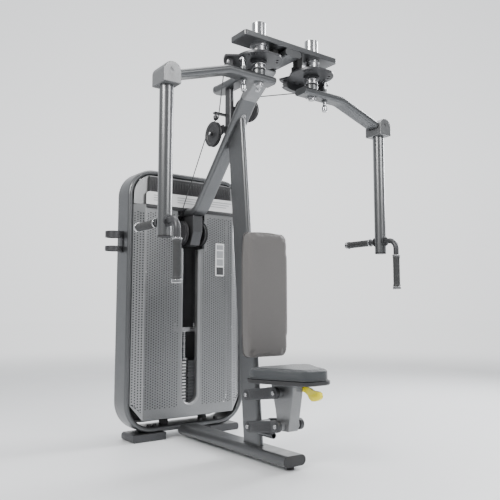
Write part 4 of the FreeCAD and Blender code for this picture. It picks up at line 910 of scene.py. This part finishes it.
# back pad: barrel sides, arched top; flat on its board
pl, ph, pw = 0.497, 1.113, 0.129
bp = round_poly([(-pw + 0.012, pl + 0.002, 0.026), (pw - 0.012, pl + 0.002, 0.026), (pw - 0.003, 0.62, 0.3), (pw - 0.002, (pl + ph) / 2, 1.2), (pw - 0.003, 0.99, 0.3),
                 (pw - 0.012, ph - 0.006, 0.028), (0, ph - 0.001, 0.7), (-pw + 0.012, ph - 0.006, 0.028), (-pw + 0.003, 0.99, 0.3), (-pw + 0.002, (pl + ph) / 2, 1.2), (-pw + 0.003, 0.62, 0.3)], 6)
yb = Y(-0.2663)
pad = cushion_sim("back_cushion", bp, lambda u, v, h: V((u, yb - h, v)), 0.0, 0.048, "pad_leather", "frame", "back_pad", cap=0.006, edge=0.011,
                  pin=lambda c: 1.0 if c.y > yb - 0.006 else 0.0)
# seat cushion: wide at the back, a round nose
sp = round_poly([(-0.207, Y(-0.374), 0.046), (0.207, Y(-0.374), 0.046), (0.062, Y(-0.677), 0.062), (-0.062, Y(-0.677), 0.062)], 10)
seat = cushion_sim("seat_pad", sp, lambda u, v, h: V((u, v, h)), 0.4143, 0.4600, "seat_leather", "seat", "seat_cushion", cap=0.006, edge=0.012,
                   pin=lambda c: 1.0 if c.z < 0.4143 + 0.006 else 0.0)


def piping(name, outline, to3, h, r, mat, body):
    bm = bmesh.new()
    pts = [to3(u, v, h) for u, v in outline]
    dense = []
    n = len(pts)
    for i in range(n):
        a, b = pts[i], pts[(i + 1) % n]
        m = max(1, int((b - a).length / 0.006))
        for k in range(m):
            dense.append(a.lerp(b, k / m))
    # closed tube
    seg = 10
    rings = []
    c = sum(dense, V((0, 0, 0))) / len(dense)
    N = len(dense)
    up = (to3(0, 0, 1) - to3(0, 0, 0)).normalized()
    for i in range(N):
        d = (dense[(i + 1) % N] - dense[i - 1]).normalized()
        side = d.cross(up).normalized()
        rings.append([bm.verts.new(dense[i] + side * math.cos(2 * pi * k / seg) * r + up * math.sin(2 * pi * k / seg) * r) for k in range(seg)])
    for i in range(N):
        a, b = rings[i], rings[(i + 1) % N]
        for k in range(seg):
            bm.faces.new((a[k], b[k], b[(k + 1) % seg], a[(k + 1) % seg]))
    return obj_from(bm, name, mat, body, 80)


piping("back_seam", bp, lambda u, v, h: V((u, yb - h, v)), 0.0035, 0.0026, "piping", "frame")
piping("seat_seam", sp, lambda u, v, h: V((u, v, h)), 0.4178, 0.0026, "seat_leather", "seat")

# ============================================================ floor
bm = bmesh.new()
bmesh.ops.create_grid(bm, x_segments=2, y_segments=2, size=30)
for v in bm.verts:
    v.co.z = 0.0
me = bpy.data.meshes.new("floor")
bm.to_mesh(me)
bm.free()
floor = bpy.data.objects.new("floor", me)
scene.collection.objects.link(floor)
t = NT("floor_paint")
t.color(t.mix(t.noise(0.6, 2), (0.82, 0.83, 0.845), (0.85, 0.86, 0.87)))
t.rough(t.range(t.noise(2.5, 3), 0.42, 0.55, 0.3, 0.7))


def tvec(op, a, b):
    n = t.n.new("ShaderNodeVectorMath")
    n.operation = op
    for q, x in enumerate((a, b)):
        if x is None:
            continue
        if isinstance(x, tuple):
            n.inputs[q].default_value = x
        else:
            t.link(x, n.inputs[q])
    return n


far = tvec("LENGTH", t.co.outputs["Object"], None).outputs["Value"]
toward = tvec("NORMALIZE", tvec("SUBTRACT", t.co.outputs["Object"], (-1.8671, -2.6383, 0.7358)).outputs["Vector"], None).outputs["Vector"]
fac = tvec("DOT_PRODUCT", toward, (0.5918, 0.7999, 0.1004)).outputs["Value"]
glow = t.ramp(t.range(fac, 0.0, 1.0, -1.0, 1.0), [(0.0, (0.20, 0.2045, 0.209)), (0.55, (0.265, 0.2695, 0.274)), (0.86, (0.575, 0.594, 0.617)), (1.0, (0.947, 0.956, 0.965))])
blend_ = t.n.new("ShaderNodeMapRange")
blend_.interpolation_type = "SMOOTHERSTEP"
blend_.inputs["From Min"].default_value, blend_.inputs["From Max"].default_value = 2.2, 9.0
t.link(far, blend_.inputs["Value"])
em = t.n.new("ShaderNodeEmission")
em.inputs["Strength"].default_value = 1.75
t.link(glow, em.inputs["Color"])
ms = t.n.new("ShaderNodeMixShader")
t.link(blend_.outputs["Result"], ms.inputs[0])
t.link(t.b.outputs[0], ms.inputs[1])
t.link(em.outputs[0], ms.inputs[2])
t.link(ms.outputs[0], t.n["Material Output"].inputs["Surface"])
me.materials.append(MATS["floor_paint"])
